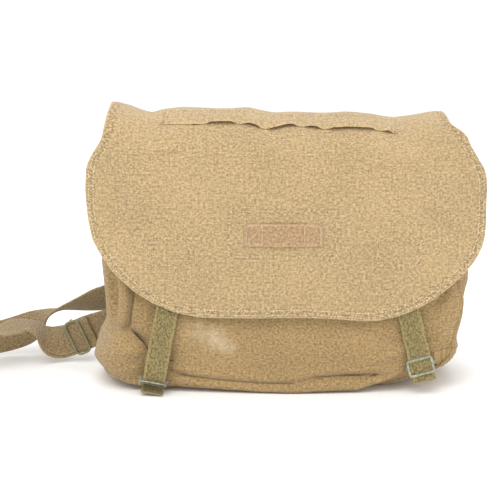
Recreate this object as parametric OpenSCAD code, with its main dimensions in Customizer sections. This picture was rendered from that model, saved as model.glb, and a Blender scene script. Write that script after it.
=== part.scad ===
// Canvas mail bag with a full cover flap, two webbing closures with metal slide
// buckles, and a canvas shoulder strap with a wire adjuster. The bag stands on its
// base: X runs to the right, Y runs from the front to the back, Z runs up.

/* [Bag body] */
// Width between the two back seams at the base
back_w = 408; // [390:2:420]
// Height of the flap hinge line above the floor
hinge_z = 318; // [312:1:324]
// Height of the front panel's mouth edge
mouth_z = 284; // [276:1:286]
// Distance of the back panel's seams behind the centre
back_y = 60; // [58:1:62]
// Distance of the front panel's seams in front of the centre
front_y = 43; // [41:1:44]
// Extra swell of the front panel over its lower third
front_belly = 6; // [2:0.5:8]
// Depth of the valley folded into each side gusset
gusset_valley = 14; // [6:1:16]
// Thickness of the doubled canvas walls
wall_t = 2; // [1.6:0.1:2.4]

/* [Flap] */
// Width of the flap where it crosses the mouth
flap_top_w = 390; // [380:2:396]
// Width of the flap across the front
flap_w = 458; // [440:2:470]
// Height of the flap's lower edge above the floor
flap_edge_z = 92; // [85:1:110]
// Length of the straight middle of the lower edge
flap_straight = 190; // [150:5:240]
// Height at which the rounded lower corners begin
corner_z = 200; // [180:5:220]
// Thickness of the flap
flap_t = 2; // [1.4:0.1:2.4]

/* [Trim on the flap] */
// Length of the long strip across the top
strip_l = 268; // [240:2:290]
// Width of the long strip
strip_w = 30; // [24:1:32]
// Length of the label loop
label_l = 88; // [80:1:96]
// Height of the label loop
label_h = 25; // [20:1:30]

/* [Closures] */
// Width of the closure webbing
web_w = 25; // [24:0.5:26]
// Thickness of the closure webbing
web_t = 1.4; // [1:0.1:1.5]
// Outer width of a buckle frame
buckle_w = 31; // [30:0.5:34]
// Outer height of a buckle frame
buckle_h = 21; // [20:0.5:24]
// Radius of a buckle's cross bar
bar_r = 1.1; // [0.9:0.05:1.2]

/* [Shoulder strap] */
// Width of the shoulder strap
strap_w = 40; // [38:1:42]
// Thickness of the shoulder strap
strap_t = 2.4; // [2:0.1:2.6]
// Wire radius of the strap adjuster
wire_r = 1.5; // [1.2:0.1:1.6]

/* [Hidden] */

canvas = "tan";
canvas_light = "burlywood";
webbing = "darkkhaki";
metal = "slategray";
skin_gap = 0.12;   // air left between sewn layers
seam_gap = 1.4;    // how far a gusset stops short of the seam line
trim_t = 1.2;      // thickness of the small sewn pieces

// Seam lines: each is a function of the height fraction v, 0 at the base, 1 at the mouth.
seam_fl = -180;    // front left seam at the base
seam_fr = 200;     // front right seam at the base
seam_top = 191;    // both front seams at the mouth
back_top_w = 392;  // width between the back seams at the hinge line
base_rise = 26;    // how much the base edge lifts at the front corners
base_z = 12;       // height of the base seam at the middle of the front

function mix(a, b, t) = a + (b - a) * t;
function bell(t, mid, w) = exp(-pow((t - mid) / w, 2));
function ease(t) = let (c = min(1, max(0, t))) c * c * (3 - 2 * c);
function unit(a) = a / norm(a);
function turn_y(y, z, deg) = y * cos(deg) - z * sin(deg);
function turn_z(y, z, deg) = y * sin(deg) + z * cos(deg);

function front_x(side, v) = side < 0 ? mix(seam_fl, -seam_top, v) : mix(seam_fr, seam_top, v);
function back_x(side, v) = side * mix(back_w, back_top_w, v) / 2;
function front_seam_y(v) = mix(-front_y - 1, -front_y + 2, v);

// Front panel: a runs left to right, v runs up. The middle swells forwards.
front_panel_surface = function (a, v)
    let (c = 2 * a - 1)
    let (swell = 3 + 2 * (1 - v) + front_belly * bell(v, 0.18, 0.22))
    [
        mix(front_x(-1, v), front_x(1, v), a),
        front_seam_y(v) - swell * (1 - pow(c, 4)),
        mix(base_z + base_rise * pow(abs(c), 3), mouth_z, v)
    ];

// Back panel: a runs right to left as seen from the front, v runs up.
back_top_z = hinge_z - 1.6;
back_panel_surface = function (a, v)
    let (c = 1 - 2 * a)
    let (swell = (2 + 4 * bell(v, 0.25, 0.3)) * (1 - pow(v, 4)))
    [
        mix(back_x(1, v), back_x(-1, v), a),
        back_y + swell * (1 - pow(c, 4)),
        mix(10 + 12 * pow(abs(c), 3), back_top_z, v)
    ];

// Side gusset: s runs front to back, v runs up. Above the pinch it folds into a
// front ridge, a valley and a rear ridge; below the pinch it swells out.
function gusset_fold(s, v, front_ridge, rear_ridge) =
    let (upper = ease((v - 0.16) / 0.25))
    let (lower = bell(v, 0.09, 0.09))
    upper * (front_ridge * bell(s, 0.25, 0.13)
        - gusset_valley * bell(s, 0.5, 0.12)
        + rear_ridge * bell(s, 0.77, 0.13))
    + lower * 11 * sin(180 * s) + (1 - upper) * 3 * sin(180 * s);
function gusset_point(side, s, v, front_ridge, rear_ridge) = [
    mix(front_x(side, v), back_x(side, v), s) + side * gusset_fold(s, v, front_ridge, rear_ridge),
    mix(front_seam_y(v), back_y, s),
    mix(mix(base_z + base_rise, 22, s) - 8 * sin(180 * s), mix(mouth_z, back_top_z, s), v)
];

// Base tray: t runs round the rim (four sides, 0 to 4), w runs from the rim to the middle.
tray_drop = 1.6;   // how far the rim of the tray stays below the walls
tray_round = 0.24; // share of the way to the middle that the rounded edge takes
function tray_rim(t) =
    t < 1 ? front_panel_surface(t, 0)
    : t < 2 ? gusset_point(1, t - 1, 0, 2, 7)
    : t < 3 ? back_panel_surface(t - 2, 0)
    : gusset_point(-1, 4 - t, 0, 4, 12);
function tray_point(t, w) =
    let (p = tray_rim(t))
    let (q = min(1, w / tray_round))
    let (low = wall_t / 2)
    [
        mix(p[0], 0, w), mix(p[1], 0, w),
        low + (p[2] - tray_drop - low) * (1 - sqrt(1 - pow(1 - q, 2)))
    ];

// Flap: over the mouth its height depends on y, down the front its y depends on z.
crest_y = 14;      // the highest line of the flap
crest_rise = 9;    // height of the crest above the hinge line
bend_y = 65;       // reach of the elliptical front bend
bend_z = 52;       // drop of the elliptical front bend
fold_y = -36;      // where the flap folds from its top onto its front
bend_base = hinge_z + crest_rise - bend_z;
function flap_top_z(y) = y > crest_y
    ? hinge_z + crest_rise * (1 - pow((y - crest_y) / (back_y - crest_y), 2))
    : bend_base + bend_z * sqrt(1 - pow((y - crest_y) / bend_y, 2));
fold_z = flap_top_z(fold_y);
function flap_front_y(z) = z > bend_base
    ? crest_y - bend_y * sqrt(1 - pow((z - bend_base) / bend_z, 2))
    : crest_y - bend_y - 8 * sin(90 * min(1, (bend_base - z) / 145));
function curl(x) = 10 * pow(abs(x) / (flap_w / 2), 6);

hinge_clear = 1.6; // distance of the flap's rear edge from its hinge line
fold_clear = 1.2;  // distance of the flap top's front edge from the fold line
flap_top_surface = function (a, q)
    let (y = mix(back_y - hinge_clear, fold_y + fold_clear, q))
    [mix(-flap_top_w / 2, flap_top_w / 2, a), y, flap_top_z(y)];

// Flap front: a runs left to right, r runs down. Past the straight middle of the
// lower edge, the edge follows a quarter of an ellipse up to the side.
function edge_angle(c) = max(0, (abs(c) - 0.4) / 0.6) * 90;
function edge_x(c) = abs(c) < 0.4
    ? c / 0.4 * flap_straight / 2
    : sign(c) * (flap_straight / 2 + (flap_w - flap_straight) / 2 * sin(edge_angle(c)));
function edge_z(c) = corner_z - (corner_z - flap_edge_z) * cos(edge_angle(c));
ear_z = 240;       // below this height the flap has its full width
function ear(z) = z < ear_z ? 1
    : mix(1, flap_top_w / flap_w, pow((z - ear_z) / (fold_z - ear_z), 2.4));
function cover_y(x, z) = flap_front_y(z) + curl(x);
flap_cover_surface = function (a, r)
    let (c = 2 * a - 1)
    let (z = mix(fold_z - 0.3, edge_z(c), r))
    let (x = edge_x(c) * ear(z))
    [x, cover_y(x, z), z];

// Closed sheet: a grid of points f(u, v) thickened along its own normals.
// The normal is the cross product of the u and v directions; lift moves the sheet along it.
module sheet(f, nu, nv, t, lift = 0, u0 = 0, u1 = 1, v0 = 0, v1 = 1) {
    e = 0.002;
    function at(i, j) = [mix(u0, u1, i / nu), mix(v0, v1, j / nv)];
    function normal(p) =
        let (ua = max(u0, p[0] - e), ub = min(u1, p[0] + e))
        let (va = max(v0, p[1] - e), vb = min(v1, p[1] + e))
        unit(cross(f(ub, p[1]) - f(ua, p[1]), f(p[0], vb) - f(p[0], va)));
    grid = [for (j = [0:nv], i = [0:nu]) at(i, j)];
    outer = [for (p = grid) f(p[0], p[1]) + normal(p) * (lift + t / 2)];
    inner = [for (p = grid) f(p[0], p[1]) + normal(p) * (lift - t / 2)];
    row = nu + 1;
    n = row * (nv + 1);
    function quad_out(a, b, c, d) = [[a, d, c], [a, c, b]];
    top = [for (j = [0:nv - 1], i = [0:nu - 1])
        let (k = j * row + i) each quad_out(k, k + 1, k + row + 1, k + row)];
    bottom = [for (j = [0:nv - 1], i = [0:nu - 1])
        let (k = n + j * row + i) each quad_out(k, k + row, k + row + 1, k + 1)];
    low_side = [for (i = [0:nu - 1]) each quad_out(i + 1, i, n + i, n + i + 1)];
    high_side = [for (i = [0:nu - 1])
        let (k = nv * row + i) each quad_out(k, k + 1, n + k + 1, n + k)];
    left_side = [for (j = [0:nv - 1])
        let (k = j * row) each quad_out(k, k + row, n + k + row, n + k)];
    right_side = [for (j = [0:nv - 1])
        let (k = j * row + nu) each quad_out(k + row, k, n + k, n + k + row)];
    polyhedron(
        points = concat(outer, inner),
        faces = concat(top, bottom, low_side, high_side, left_side, right_side),
        convexity = 6
    );
}

// Closed ribbon: a flat section of width w and thickness t carried along points;
// wide gives the section's width direction at each point.
module ribbon(points, wide, w, t) {
    n = len(points);
    last = n - 1;
    function along(i) = unit(points[min(last, i + 1)] - points[max(0, i - 1)]);
    function across(i) = unit(wide[i] - along(i) * (wide[i] * along(i)));
    function ring(i) =
        let (s = across(i) * w / 2, m = cross(along(i), across(i)) * t / 2, k = 0.94)
        [
            points[i] + s, points[i] + s * k + m, points[i] - s * k + m,
            points[i] - s, points[i] - s * k - m, points[i] + s * k - m
        ];
    sides = 6;
    walls = [for (i = [0:last - 1], k = [0:sides - 1])
        let (a = i * sides + k, b = i * sides + (k + 1) % sides)
        each [[a, b, b + sides], [a, b + sides, a + sides]]];
    start = [for (k = [sides - 1:-1:0]) k];
    end = [for (k = [0:sides - 1]) last * sides + k];
    polyhedron(
        points = [for (i = [0:last]) each ring(i)],
        faces = concat(walls, [start], [end]),
        convexity = 6
    );
}

// Smooth curve through the points, each with any number of values.
function spline(p, steps) =
    let (n = len(p))
    [
        for (i = [0:n - 2], k = [0:steps - 1])
            let (a = p[max(0, i - 1)], b = p[i], c = p[i + 1], d = p[min(n - 1, i + 2)])
            let (t = k / steps)
            0.5 * (2 * b + (c - a) * t + (2 * a - 5 * b + 4 * c - d) * t * t
                + (3 * b - a - 3 * c + d) * t * t * t),
        p[n - 1]
    ];
function xyz(rows) = [for (r = rows) [r[0], r[1], r[2]]];

// Body walls.
module back_panel() {
    color(canvas) sheet(back_panel_surface, 14, 10, wall_t);
}
module front_panel() {
    color(canvas) sheet(front_panel_surface, 22, 16, wall_t);
}
gusset_s0 = seam_gap / 100;
module gusset_left() {
    f = function (s, v) gusset_point(-1, 1 - s, v, 4, 12);
    color(canvas) sheet(f, 22, 16, wall_t, u0 = gusset_s0, u1 = 1 - gusset_s0);
}
module gusset_right() {
    f = function (s, v) gusset_point(1, s, v, 2, 7);
    color(canvas) sheet(f, 22, 16, wall_t, u0 = gusset_s0, u1 = 1 - gusset_s0);
}

// Base tray: rings from the rim inwards, closed at the middle by a flat patch.
module bottom_panel() {
    n = 64;
    rings = [0, 0.03, 0.06, 0.1, 0.16, 0.24, 0.6];
    function shell(w, up) = [for (i = [0:n - 1])
        let (p = tray_point(4 * i / n, w))
        let (side = unit([p[0] / 3, p[1], 0]) * (up > 0 ? -wall_t * (1 - min(1, w / tray_round)) : 0))
        p + side + [0, 0, up > 0 ? wall_t * min(1, w / 0.14) : 0]];
    lowest = [for (w = rings) each shell(w, 0)];
    highest = [for (w = rings) each shell(w, 1)];
    m = len(rings);
    top0 = n * m;
    under = [for (j = [0:m - 2], i = [0:n - 1])
        let (a = j * n + i, b = j * n + (i + 1) % n)
        each [[a, b, b + n], [a, b + n, a + n]]];
    over = [for (j = [0:m - 2], i = [0:n - 1])
        let (a = top0 + j * n + i, b = top0 + j * n + (i + 1) % n)
        each [[a, b + n, b], [a, a + n, b + n]]];
    rim = [for (i = [0:n - 1])
        let (a = i, b = (i + 1) % n)
        each [[a, top0 + b, b], [a, top0 + a, top0 + b]]];
    cap_low = [[for (i = [0:n - 1]) (m - 1) * n + i]];
    cap_high = [[for (i = [n - 1:-1:0]) top0 + (m - 1) * n + i]];
    color(canvas) translate([0, 0, -wall_t / 2]) polyhedron(
        points = concat(lowest, highest),
        faces = concat(under, over, rim, cap_low, cap_high),
        convexity = 4
    );
}

// Flap.
module flap_top() {
    f = function (a, q) flap_top_surface(1 - a, q);
    color(canvas_light) sheet(f, 16, 14, flap_t);
}
module flap_cover() {
    f = function (a, r) flap_cover_surface(1 - a, r);
    color(canvas_light) sheet(f, 30, 18, flap_t);
}

// Strip across the top of the flap, between two lines on the bend.
strip_y0 = -3;     // rear edge of the strip
strip_x = -4;      // the strip sits a little left of the middle
strip_run = strip_w - 3;
module top_strip() {
    f = function (a, q)
        let (y = strip_y0 - q * strip_run)
        [mix(strip_l / 2, -strip_l / 2, a) + strip_x, y, flap_top_z(y)];
    color(canvas_light) sheet(f, 16, 8, trim_t, lift = flap_t / 2 + skin_gap + trim_t / 2);
}

// A piece lying on the flap's front over a range of x and z; a positive lift is outside.
module on_cover(x0, x1, z0, z1, nx, nz, t, lift) {
    f = function (a, r)
        let (x = mix(x1, x0, a), z = mix(z1, z0, r))
        [x, cover_y(x, z), z];
    sheet(f, nx, nz, t, lift = lift);
}
on_face = flap_t / 2 + skin_gap + trim_t / 2;
label_z = 189;
module label_loop() {
    color(canvas_light) on_cover(
        -label_l / 2, label_l / 2, label_z - label_h / 2, label_z + label_h / 2,
        8, 4, trim_t, on_face
    );
}
module label_backing() {
    color(canvas) on_cover(-61, 60, 164, 216, 10, 6, trim_t, -on_face);
}
module closure_backing_left() {
    color(canvas) on_cover(-151, -106, 154, 186, 6, 4, trim_t, -on_face);
}
module closure_backing_right() {
    color(canvas) on_cover(107, 156, 154, 184, 6, 4, trim_t, -on_face);
}

// Closure webbing. Its sewn top half lies under the flap; its free end runs on through
// the buckle. lean is the slope of the webbing away from upright, in degrees.
left_lean = 11;
right_lean = 16;
web_top_z = 180;
web_split_z = 95;
left_exit = [-134.5, 95];
right_exit = [145.5, 95];
web_lift = -(flap_t / 2 + trim_t + 2 * skin_gap + web_t / 2);
module closure_top(exit, lean) {
    f = function (a, r)
        let (u = mix(web_w / 2, -web_w / 2, a), z = mix(web_top_z, web_split_z + 0.4, r))
        let (x = exit[0] - (z - exit[1]) * tan(lean) + u * cos(lean), h = z + u * sin(lean))
        [x, cover_y(x, h), h];
    color(webbing) sheet(f, 4, 10, web_t, lift = web_lift);
}
module closure_strap_left() { closure_top(left_exit, -left_lean); }
module closure_strap_right() { closure_top(right_exit, right_lean); }

// Buckle places: the middle of each frame, with its lean and its pitch.
left_buckle = [-151, -58, 13];
right_buckle = [160, -59, 34];
left_pitch = 65;
module at_left_buckle() { translate(left_buckle) rotate([0, left_lean, 0]) rotate([left_pitch, 0, 0]) children(); }
module at_right_buckle() { translate(right_buckle) rotate([0, -right_lean, 0]) children(); }

// Free ends of the webbing: each route is a list of [x, y, z] points.
left_route = [
    [-134.5, -55.4, 94.6], [-136.5, -55.7, 84], [-140, -57, 68], [-143.6, -58.8, 50],
    [-146.5, -60.8, 34], [-148.2, -62.4, 24], [-149.6, -61.8, 17.6], [-150.6, -58.4, 15],
    [-151.2, -52.6, 12.4], [-151.6, -47.8, 10.3], [-151.9, -47.2, 6.8], [-152.1, -50.4, 4],
    [-152.2, -57, 2.8], [-152.3, -64, 3]
];
right_route = [
    [145.5, -55.4, 94.6], [148.4, -55.8, 84], [152.2, -56.5, 68], [156, -57.1, 54],
    [158.4, -57.2, 42], [160.4, -57.2, 34], [162.8, -57.2, 25], [164.6, -57.6, 18.5],
    [166, -58.8, 13]
];
module closure_end(route, lean) {
    wide = [cos(lean), 0, sin(lean)];
    points = spline(route, 3);
    color(webbing) ribbon(points, [for (p = points) wide], web_w, web_t);
}
module closure_end_left() { closure_end(left_route, -left_lean); }
module closure_end_right() { closure_end(right_route, right_lean); }

// Buckle: a flat frame with two lugs bent back, and a cross bar with knobbed ends.
frame_t = 1.6;
window_w = 26;
window_h = 16;
bar_y = 4.8;       // cross bar behind the frame
lug_w = 2.4;
lug_h = 5;
knob_r = 1.9;
module buckle_frame() {
    rail_x = (buckle_w - lug_w) / 2;
    difference() {
        union() {
            cube([buckle_w, frame_t, buckle_h], center = true);
            for (side = [-1, 1])
                translate([side * rail_x - lug_w / 2, 0, -lug_h / 2])
                    cube([lug_w, bar_y + 2.2, lug_h]);
        }
        cube([window_w, 3 * frame_t, window_h], center = true);
        translate([0, bar_y, 0])
            rotate([0, 90, 0])
                cylinder(h = 2 * buckle_w, r = bar_r + 0.05, center = true, $fn = 32);
    }
}
module buckle_bar() {
    knob_x = buckle_w / 2 + 0.1;
    translate([0, bar_y, 0]) rotate([0, 90, 0]) {
        cylinder(h = 2 * knob_x + 2, r = bar_r, center = true, $fn = 32);
        for (side = [-1, 1])
            translate([0, 0, side * (knob_x + 0.9)])
                cylinder(h = 1.8, r = knob_r, center = true, $fn = 32);
    }
}
module buckle_frame_left() { color(metal) at_left_buckle() buckle_frame(); }
module buckle_frame_right() { color(metal) at_right_buckle() buckle_frame(); }
module buckle_bar_left() { color(metal) at_left_buckle() buckle_bar(); }
module buckle_bar_right() { color(metal) at_right_buckle() buckle_bar(); }

// Buckle tab: webbing looped round the bar, its two layers sewn to the bag's lower edge.
tab_t = 1;
tab_w = 24;
module buckle_tab(drop, aim) {
    inner_r = bar_r + 0.12;
    rotate([0, 90, 0]) rotate([0, 0, 90]) linear_extrude(height = tab_w, center = true)
        translate([bar_y, 0]) difference() {
            union() {
                circle(r = inner_r + tab_t, $fn = 32);
                rotate(aim) translate([-tab_t, -drop]) square([2 * tab_t, drop]);
            }
            circle(r = inner_r, $fn = 32);
        }
}
left_tab = [6.5, 12];   // length of the tab below the bar, and its aim
right_tab = [14.5, 4];
module buckle_tab_left() { color(webbing) at_left_buckle() buckle_tab(left_tab[0], left_tab[1]); }
module buckle_tab_right() { color(webbing) at_right_buckle() buckle_tab(right_tab[0], right_tab[1]); }

// Shoulder strap. Each row of a route is [x, y, z, tilt]: tilt leans the strap's width
// away from upright, in degrees.
adjuster_at = [-256, 69, 33];
long_route = [
    [172, 67, 100, 0], [208, 69, 97, 0], [219, 76, 93, 4], [222, 87, 87, 8],
    [214, 98, 80, 12], [194, 107, 70, 14], [165, 115, 58, 14], [90, 128, 30, 8],
    [30, 132, 22, 4], [-30, 131, 21.5, 4], [-76, 124, 21.5, 4], [-102, 114, 21.5, 0],
    [-107, 103, 21.5, 0], [-92, 95, 21.5, -4], [-40, 92, 21.5, -4], [30, 96, 21.5, -4],
    [84, 96, 21.5, 0], [102, 90, 22, 0], [92, 83, 24, 4], [40, 79, 30, 8],
    [-40, 76, 46, 12], [-130, 77, 66, 14], [-198, 83, 79, 18], [-222, 89, 78, 28],
    [-246, 96, 70, 48], [-268, 102, 63, 66], [-288, 108, 56, 86], [-303, 112, 47, 114],
    [-318, 112, 38, 142], [-336, 109, 29.5, 162], [-358, 101, 24.5, 170], [-384, 89, 23, 170],
    [-404, 75, 23, 170], [-415, 60, 23.5, 168], [-411, 45, 25.5, 164], [-396, 37, 30, 150],
    [-378, 37, 36, 128], [-361, 42, 42, 106], [-345, 51, 47, 88], [-331, 59, 50, 80],
    [-318, 64, 50, 86], [-307, 66, 45, 80], [-298.5, 67.4, 36, 62], [-290.5, 68.2, 30, 42],
    [-281, 68.8, 26.6, 18], [-270.5, 69, 27.5, 2], [-256, 69, 33, 0], [-238, 69, 41, 0]
];
short_route = [
    [-172, 67, 53, 0], [-192, 67, 52.2, 0], [-210, 68, 49.4, 0], [-225, 71, 45, 0],
    [-240, 73.8, 39.8, 0], [-248, 74.6, 36.6, 0], [-254.2, 74.6, 33.8, 0]
];
function strap_wide(rows) = [for (i = [0:len(rows) - 1])
    let (n = len(rows) - 1)
    let (p = xyz(rows))
    let (along = unit(p[min(n, i + 1)] - p[max(0, i - 1)]))
    let (side = unit(cross([0, 0, 1], along)))
    [0, 0, 1] * cos(rows[i][3]) + side * sin(rows[i][3])];
module strap(route, steps) {
    rows = spline(route, steps);
    ribbon(xyz(rows), strap_wide(rows), strap_w, strap_t);
}
module shoulder_strap_long() { color(canvas) strap(long_route, 2); }
module shoulder_strap_short() { color(canvas) strap(short_route, 2); }

// Anchors: canvas patches sewn to the back panel's corners under the strap's ends.
// Each range is a share of the back panel's width from the right, and of its height.
module strap_anchor(a0, a1, v0, v1) {
    lift = wall_t / 2 + skin_gap + trim_t / 2;
    color(canvas) sheet(back_panel_surface, 5, 5, trim_t, lift = lift, u0 = a0, u1 = a1, v0 = v0, v1 = v1);
}
module strap_anchor_left() { strap_anchor(0.89, 0.985, 0.055, 0.215); }
module strap_anchor_right() { strap_anchor(0.015, 0.11, 0.2, 0.36); }

// Adjuster: a rounded wire frame in front of the strap and a cross bar behind it.
adjuster_slope = 24;   // climb of the strap through the adjuster, in degrees
adjuster_l = 47;       // along the strap's width
adjuster_h = 21;       // along the strap
adjuster_front = -3.2; // frame in front of the strap
adjuster_back = 5.6;   // bar behind the strap
module at_adjuster() {
    translate(adjuster_at) rotate([0, -adjuster_slope, 0]) children();
}
module round_plate(w, h, corner) {
    square([w - 2 * corner, h], center = true);
    square([w, h - 2 * corner], center = true);
    for (sx = [-1, 1], sy = [-1, 1])
        translate([sx * (w / 2 - corner), sy * (h / 2 - corner)]) circle(r = corner, $fn = 32);
}
module wire_frame(l, h, r, corner) {
    rotate([90, 0, 0]) linear_extrude(height = 2 * r, center = true) difference() {
        round_plate(h, l, corner);
        round_plate(h - 4 * r, l - 4 * r, corner - 2 * r);
    }
}
module adjuster_frame() {
    rail = adjuster_l / 2 - wire_r;
    color(metal) at_adjuster() {
        translate([0, adjuster_front, 0]) wire_frame(adjuster_l, adjuster_h, wire_r, 5);
        for (side = [-1, 1])
            translate([0, adjuster_front, side * rail]) rotate([-90, 0, 0])
                cylinder(h = adjuster_back - adjuster_front, r = wire_r, $fn = 24);
    }
}
module adjuster_bar() {
    color(metal) at_adjuster() translate([0, adjuster_back, 0])
        cylinder(h = adjuster_l - 4 * wire_r - 0.2, r = wire_r, center = true, $fn = 24);
}

back_panel();
front_panel();
gusset_left();
gusset_right();
bottom_panel();
flap_top();
flap_cover();
top_strip();
label_loop();
label_backing();
closure_backing_left();
closure_backing_right();
closure_strap_left();
closure_strap_right();
closure_end_left();
closure_end_right();
buckle_frame_left();
buckle_frame_right();
buckle_bar_left();
buckle_bar_right();
buckle_tab_left();
buckle_tab_right();
strap_anchor_left();
strap_anchor_right();
shoulder_strap_long();
shoulder_strap_short();
adjuster_frame();
adjuster_bar();
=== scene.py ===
"""Canvas mail bag: builds the cloth, webbing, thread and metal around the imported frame.

Run as a script. Shapes are worked out in millimetres and stored in metres.
"""
import math

import bpy
import numpy as np
from bpy.props import FloatProperty, FloatVectorProperty, PointerProperty
from bpy.types import Operator, Panel, PropertyGroup
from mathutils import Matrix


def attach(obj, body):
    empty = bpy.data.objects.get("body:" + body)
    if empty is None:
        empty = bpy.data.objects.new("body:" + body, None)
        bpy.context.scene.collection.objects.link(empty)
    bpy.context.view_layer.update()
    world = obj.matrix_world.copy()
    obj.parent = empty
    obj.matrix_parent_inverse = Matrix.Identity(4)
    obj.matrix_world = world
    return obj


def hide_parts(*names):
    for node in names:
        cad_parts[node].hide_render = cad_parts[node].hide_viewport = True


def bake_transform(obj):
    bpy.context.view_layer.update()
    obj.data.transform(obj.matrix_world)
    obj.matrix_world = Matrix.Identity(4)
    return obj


bl_info = {
    "name": "Canvas Mail Bag",
    "version": (1, 0, 0),
    "blender": (4, 5, 0),
    "location": "3D View > Sidebar > Mail Bag",
    "description": "Builds a canvas mail bag with a cover flap, closures and a shoulder strap",
    "category": "Object",
}

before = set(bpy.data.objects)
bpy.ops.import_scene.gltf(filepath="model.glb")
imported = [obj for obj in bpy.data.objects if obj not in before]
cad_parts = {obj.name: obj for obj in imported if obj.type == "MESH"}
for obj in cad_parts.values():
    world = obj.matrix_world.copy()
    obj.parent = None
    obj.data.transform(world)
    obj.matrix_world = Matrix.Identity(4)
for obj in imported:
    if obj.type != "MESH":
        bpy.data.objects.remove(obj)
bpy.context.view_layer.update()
MM = 0.001
CLOTH_UV = "cloth"
# Per-point lightening: wear, and on the label painted highlight of its folded edges.
WEAR_AND_HIGHLIGHT = "worn"
# Per-point painted shade along seams and the hem.
SEAM_SHADE = "seam"
UP = np.array([0.0, 0.0, 1.0])
BACKWARD = np.array([0.0, 1.0, 0.0])

# Sizes in millimetres, shared with the frame.
HINGE_Z, MOUTH_Z, BACK_Y = 318.0, 284.0, 60.0
CREST_Y, CREST_RISE, BEND_Y, BEND_Z = 14.0, 9.0, 65.0, 52.0
BEND_BASE = HINGE_Z + CREST_RISE - BEND_Z
FLAP_SKIN = 1.0          # half the thickness of the flap
WALL_SKIN = 1.0          # half the thickness of a wall
CLOSURES = {
    "left": dict(
        exit=(-134.5, 95.0), lean=-11.0, buckle=(-151.0, -58.0, 13.0), pitch=65.0, tab=(6.5, 12.0),
        route=[[-134.5, -55.4, 94.6], [-136.5, -55.7, 84], [-140, -57, 68], [-143.6, -58.8, 50],
               [-146.5, -60.8, 34], [-148.2, -62.4, 24], [-149.6, -61.8, 17.6], [-150.6, -58.4, 15],
               [-151.2, -52.6, 12.4], [-151.6, -47.8, 10.3], [-151.9, -47.2, 6.8],
               [-152.1, -50.4, 4], [-152.2, -57, 2.8], [-152.3, -64, 3]]),
    "right": dict(
        exit=(145.5, 95.0), lean=16.0, buckle=(160.0, -59.0, 34.0), pitch=0.0, tab=(14.5, 4.0),
        route=[[145.5, -55.4, 94.6], [148.4, -55.8, 84], [152.2, -56.5, 68], [156, -57.1, 54],
               [158.4, -57.2, 42], [160.4, -57.2, 34], [162.8, -57.2, 25], [164.6, -57.6, 19.5],
               [165.4, -58.4, 16.5]]),
}
BAR_Y = 4.8
# Route of the long shoulder strap: x, y, z and the lean of its width from upright.
LONG_ROUTE = [
    [172, 67, 100, 0], [208, 69, 97, 0], [219, 76, 93, 4], [222, 87, 87, 8],
    [214, 98, 80, 12], [194, 107, 70, 14], [165, 115, 58, 14], [90, 128, 30, 8],
    [30, 132, 22, 4], [-30, 131, 21.5, 4], [-76, 124, 21.5, 4], [-102, 114, 21.5, 0],
    [-107, 103, 21.5, 0], [-92, 95, 21.5, -4], [-40, 92, 21.5, -4], [30, 96, 21.5, -4],
    [84, 96, 21.5, 0], [102, 90, 22, 0], [92, 83, 24, 4], [40, 79, 30, 8],
    [-40, 76, 46, 12], [-130, 77, 66, 14], [-198, 83, 79, 18], [-222, 89, 78, 28],
    [-246, 96, 70, 48], [-268, 102, 63, 66], [-288, 108, 56, 86], [-303, 112, 47, 114],
    [-318, 112, 38, 142], [-336, 109, 29.5, 162], [-358, 101, 24.5, 170], [-384, 89, 23, 170],
    [-404, 75, 23, 170], [-415, 60, 23.5, 168], [-411, 45, 25.5, 164], [-396, 37, 30, 150],
    [-378, 37, 36, 128], [-361, 42, 42, 106], [-345, 51, 47, 88], [-331, 59, 50, 80],
    [-318, 64, 50, 86], [-307, 66, 45, 80], [-298.5, 67.4, 36, 62], [-290.5, 68.2, 30, 42],
    [-281, 68.8, 26.6, 18], [-270.5, 69, 27.5, 2], [-256, 69, 33, 0], [-238, 69, 41, 0],
]
SHORT_ROUTE = [
    [-172, 67, 53, 0], [-192, 67, 52.2, 0], [-210, 68, 49.4, 0], [-225, 71, 45, 0],
    [-240, 73.8, 39.8, 0], [-248, 74.6, 36.6, 0], [-254.2, 74.6, 33.8, 0],
]
ADJUSTER_AT, ADJUSTER_SLOPE = (-256.0, 69.0, 33.0), 24.0


# ---------------------------------------------------------------- small maths
def mix(a, b, t):
    """Straight mix of a and b by the share t."""
    return a + (b - a) * t


def bell(t, mid, width):
    """Bell curve of height 1 around mid."""
    return np.exp(-(((t - mid) / width) ** 2))


def ease(t, low=0.0, high=1.0):
    """Smooth step from 0 at low to 1 at high."""
    c = np.clip((t - low) / (high - low), 0, 1)
    return c * c * (3 - 2 * c)


def unit(v):
    """Vectors of length 1 along the last axis."""
    return v / np.maximum(np.linalg.norm(v, axis=-1, keepdims=True), 1e-9)


def through(x, rows):
    """Smooth curve through rows of (x, value): the straight joins, averaged over a short window."""
    rows = np.array(sorted(rows), float)
    x = np.asarray(x, float)
    window = 0.25 * np.median(np.diff(rows[:, 0]))
    offsets = np.linspace(-1, 1, 9)
    parts = np.stack([np.interp(x + o * window, rows[:, 0], rows[:, 1]) for o in offsets])
    return parts.mean(0)


def spline(rows, steps):
    """Catmull-Rom curve through the rows, with this many steps between two rows."""
    p = np.array(rows, float)
    q = np.vstack([p[:1], p, p[-1:]])
    a, b, c, d = (q[k:len(q) - 3 + k][:, None] for k in range(4))
    t = (np.arange(steps) / steps)[None, :, None]
    curve = 0.5 * (2 * b + (c - a) * t + (2 * a - 5 * b + 4 * c - d) * t ** 2
                   + (3 * b - a - 3 * c + d) * t ** 3)
    return np.vstack([curve.reshape(-1, p.shape[1]), p[-1:]])


def evenly(points, step):
    """Points at even distances along a polyline."""
    points = np.asarray(points, float)
    run = np.concatenate([[0], np.cumsum(np.linalg.norm(np.diff(points, axis=0), axis=1))])
    count = max(2, int(round(run[-1] / step)) + 1)
    at = np.linspace(0, run[-1], count)
    return np.stack([np.interp(at, run, points[:, k]) for k in range(points.shape[1])], -1)


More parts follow.
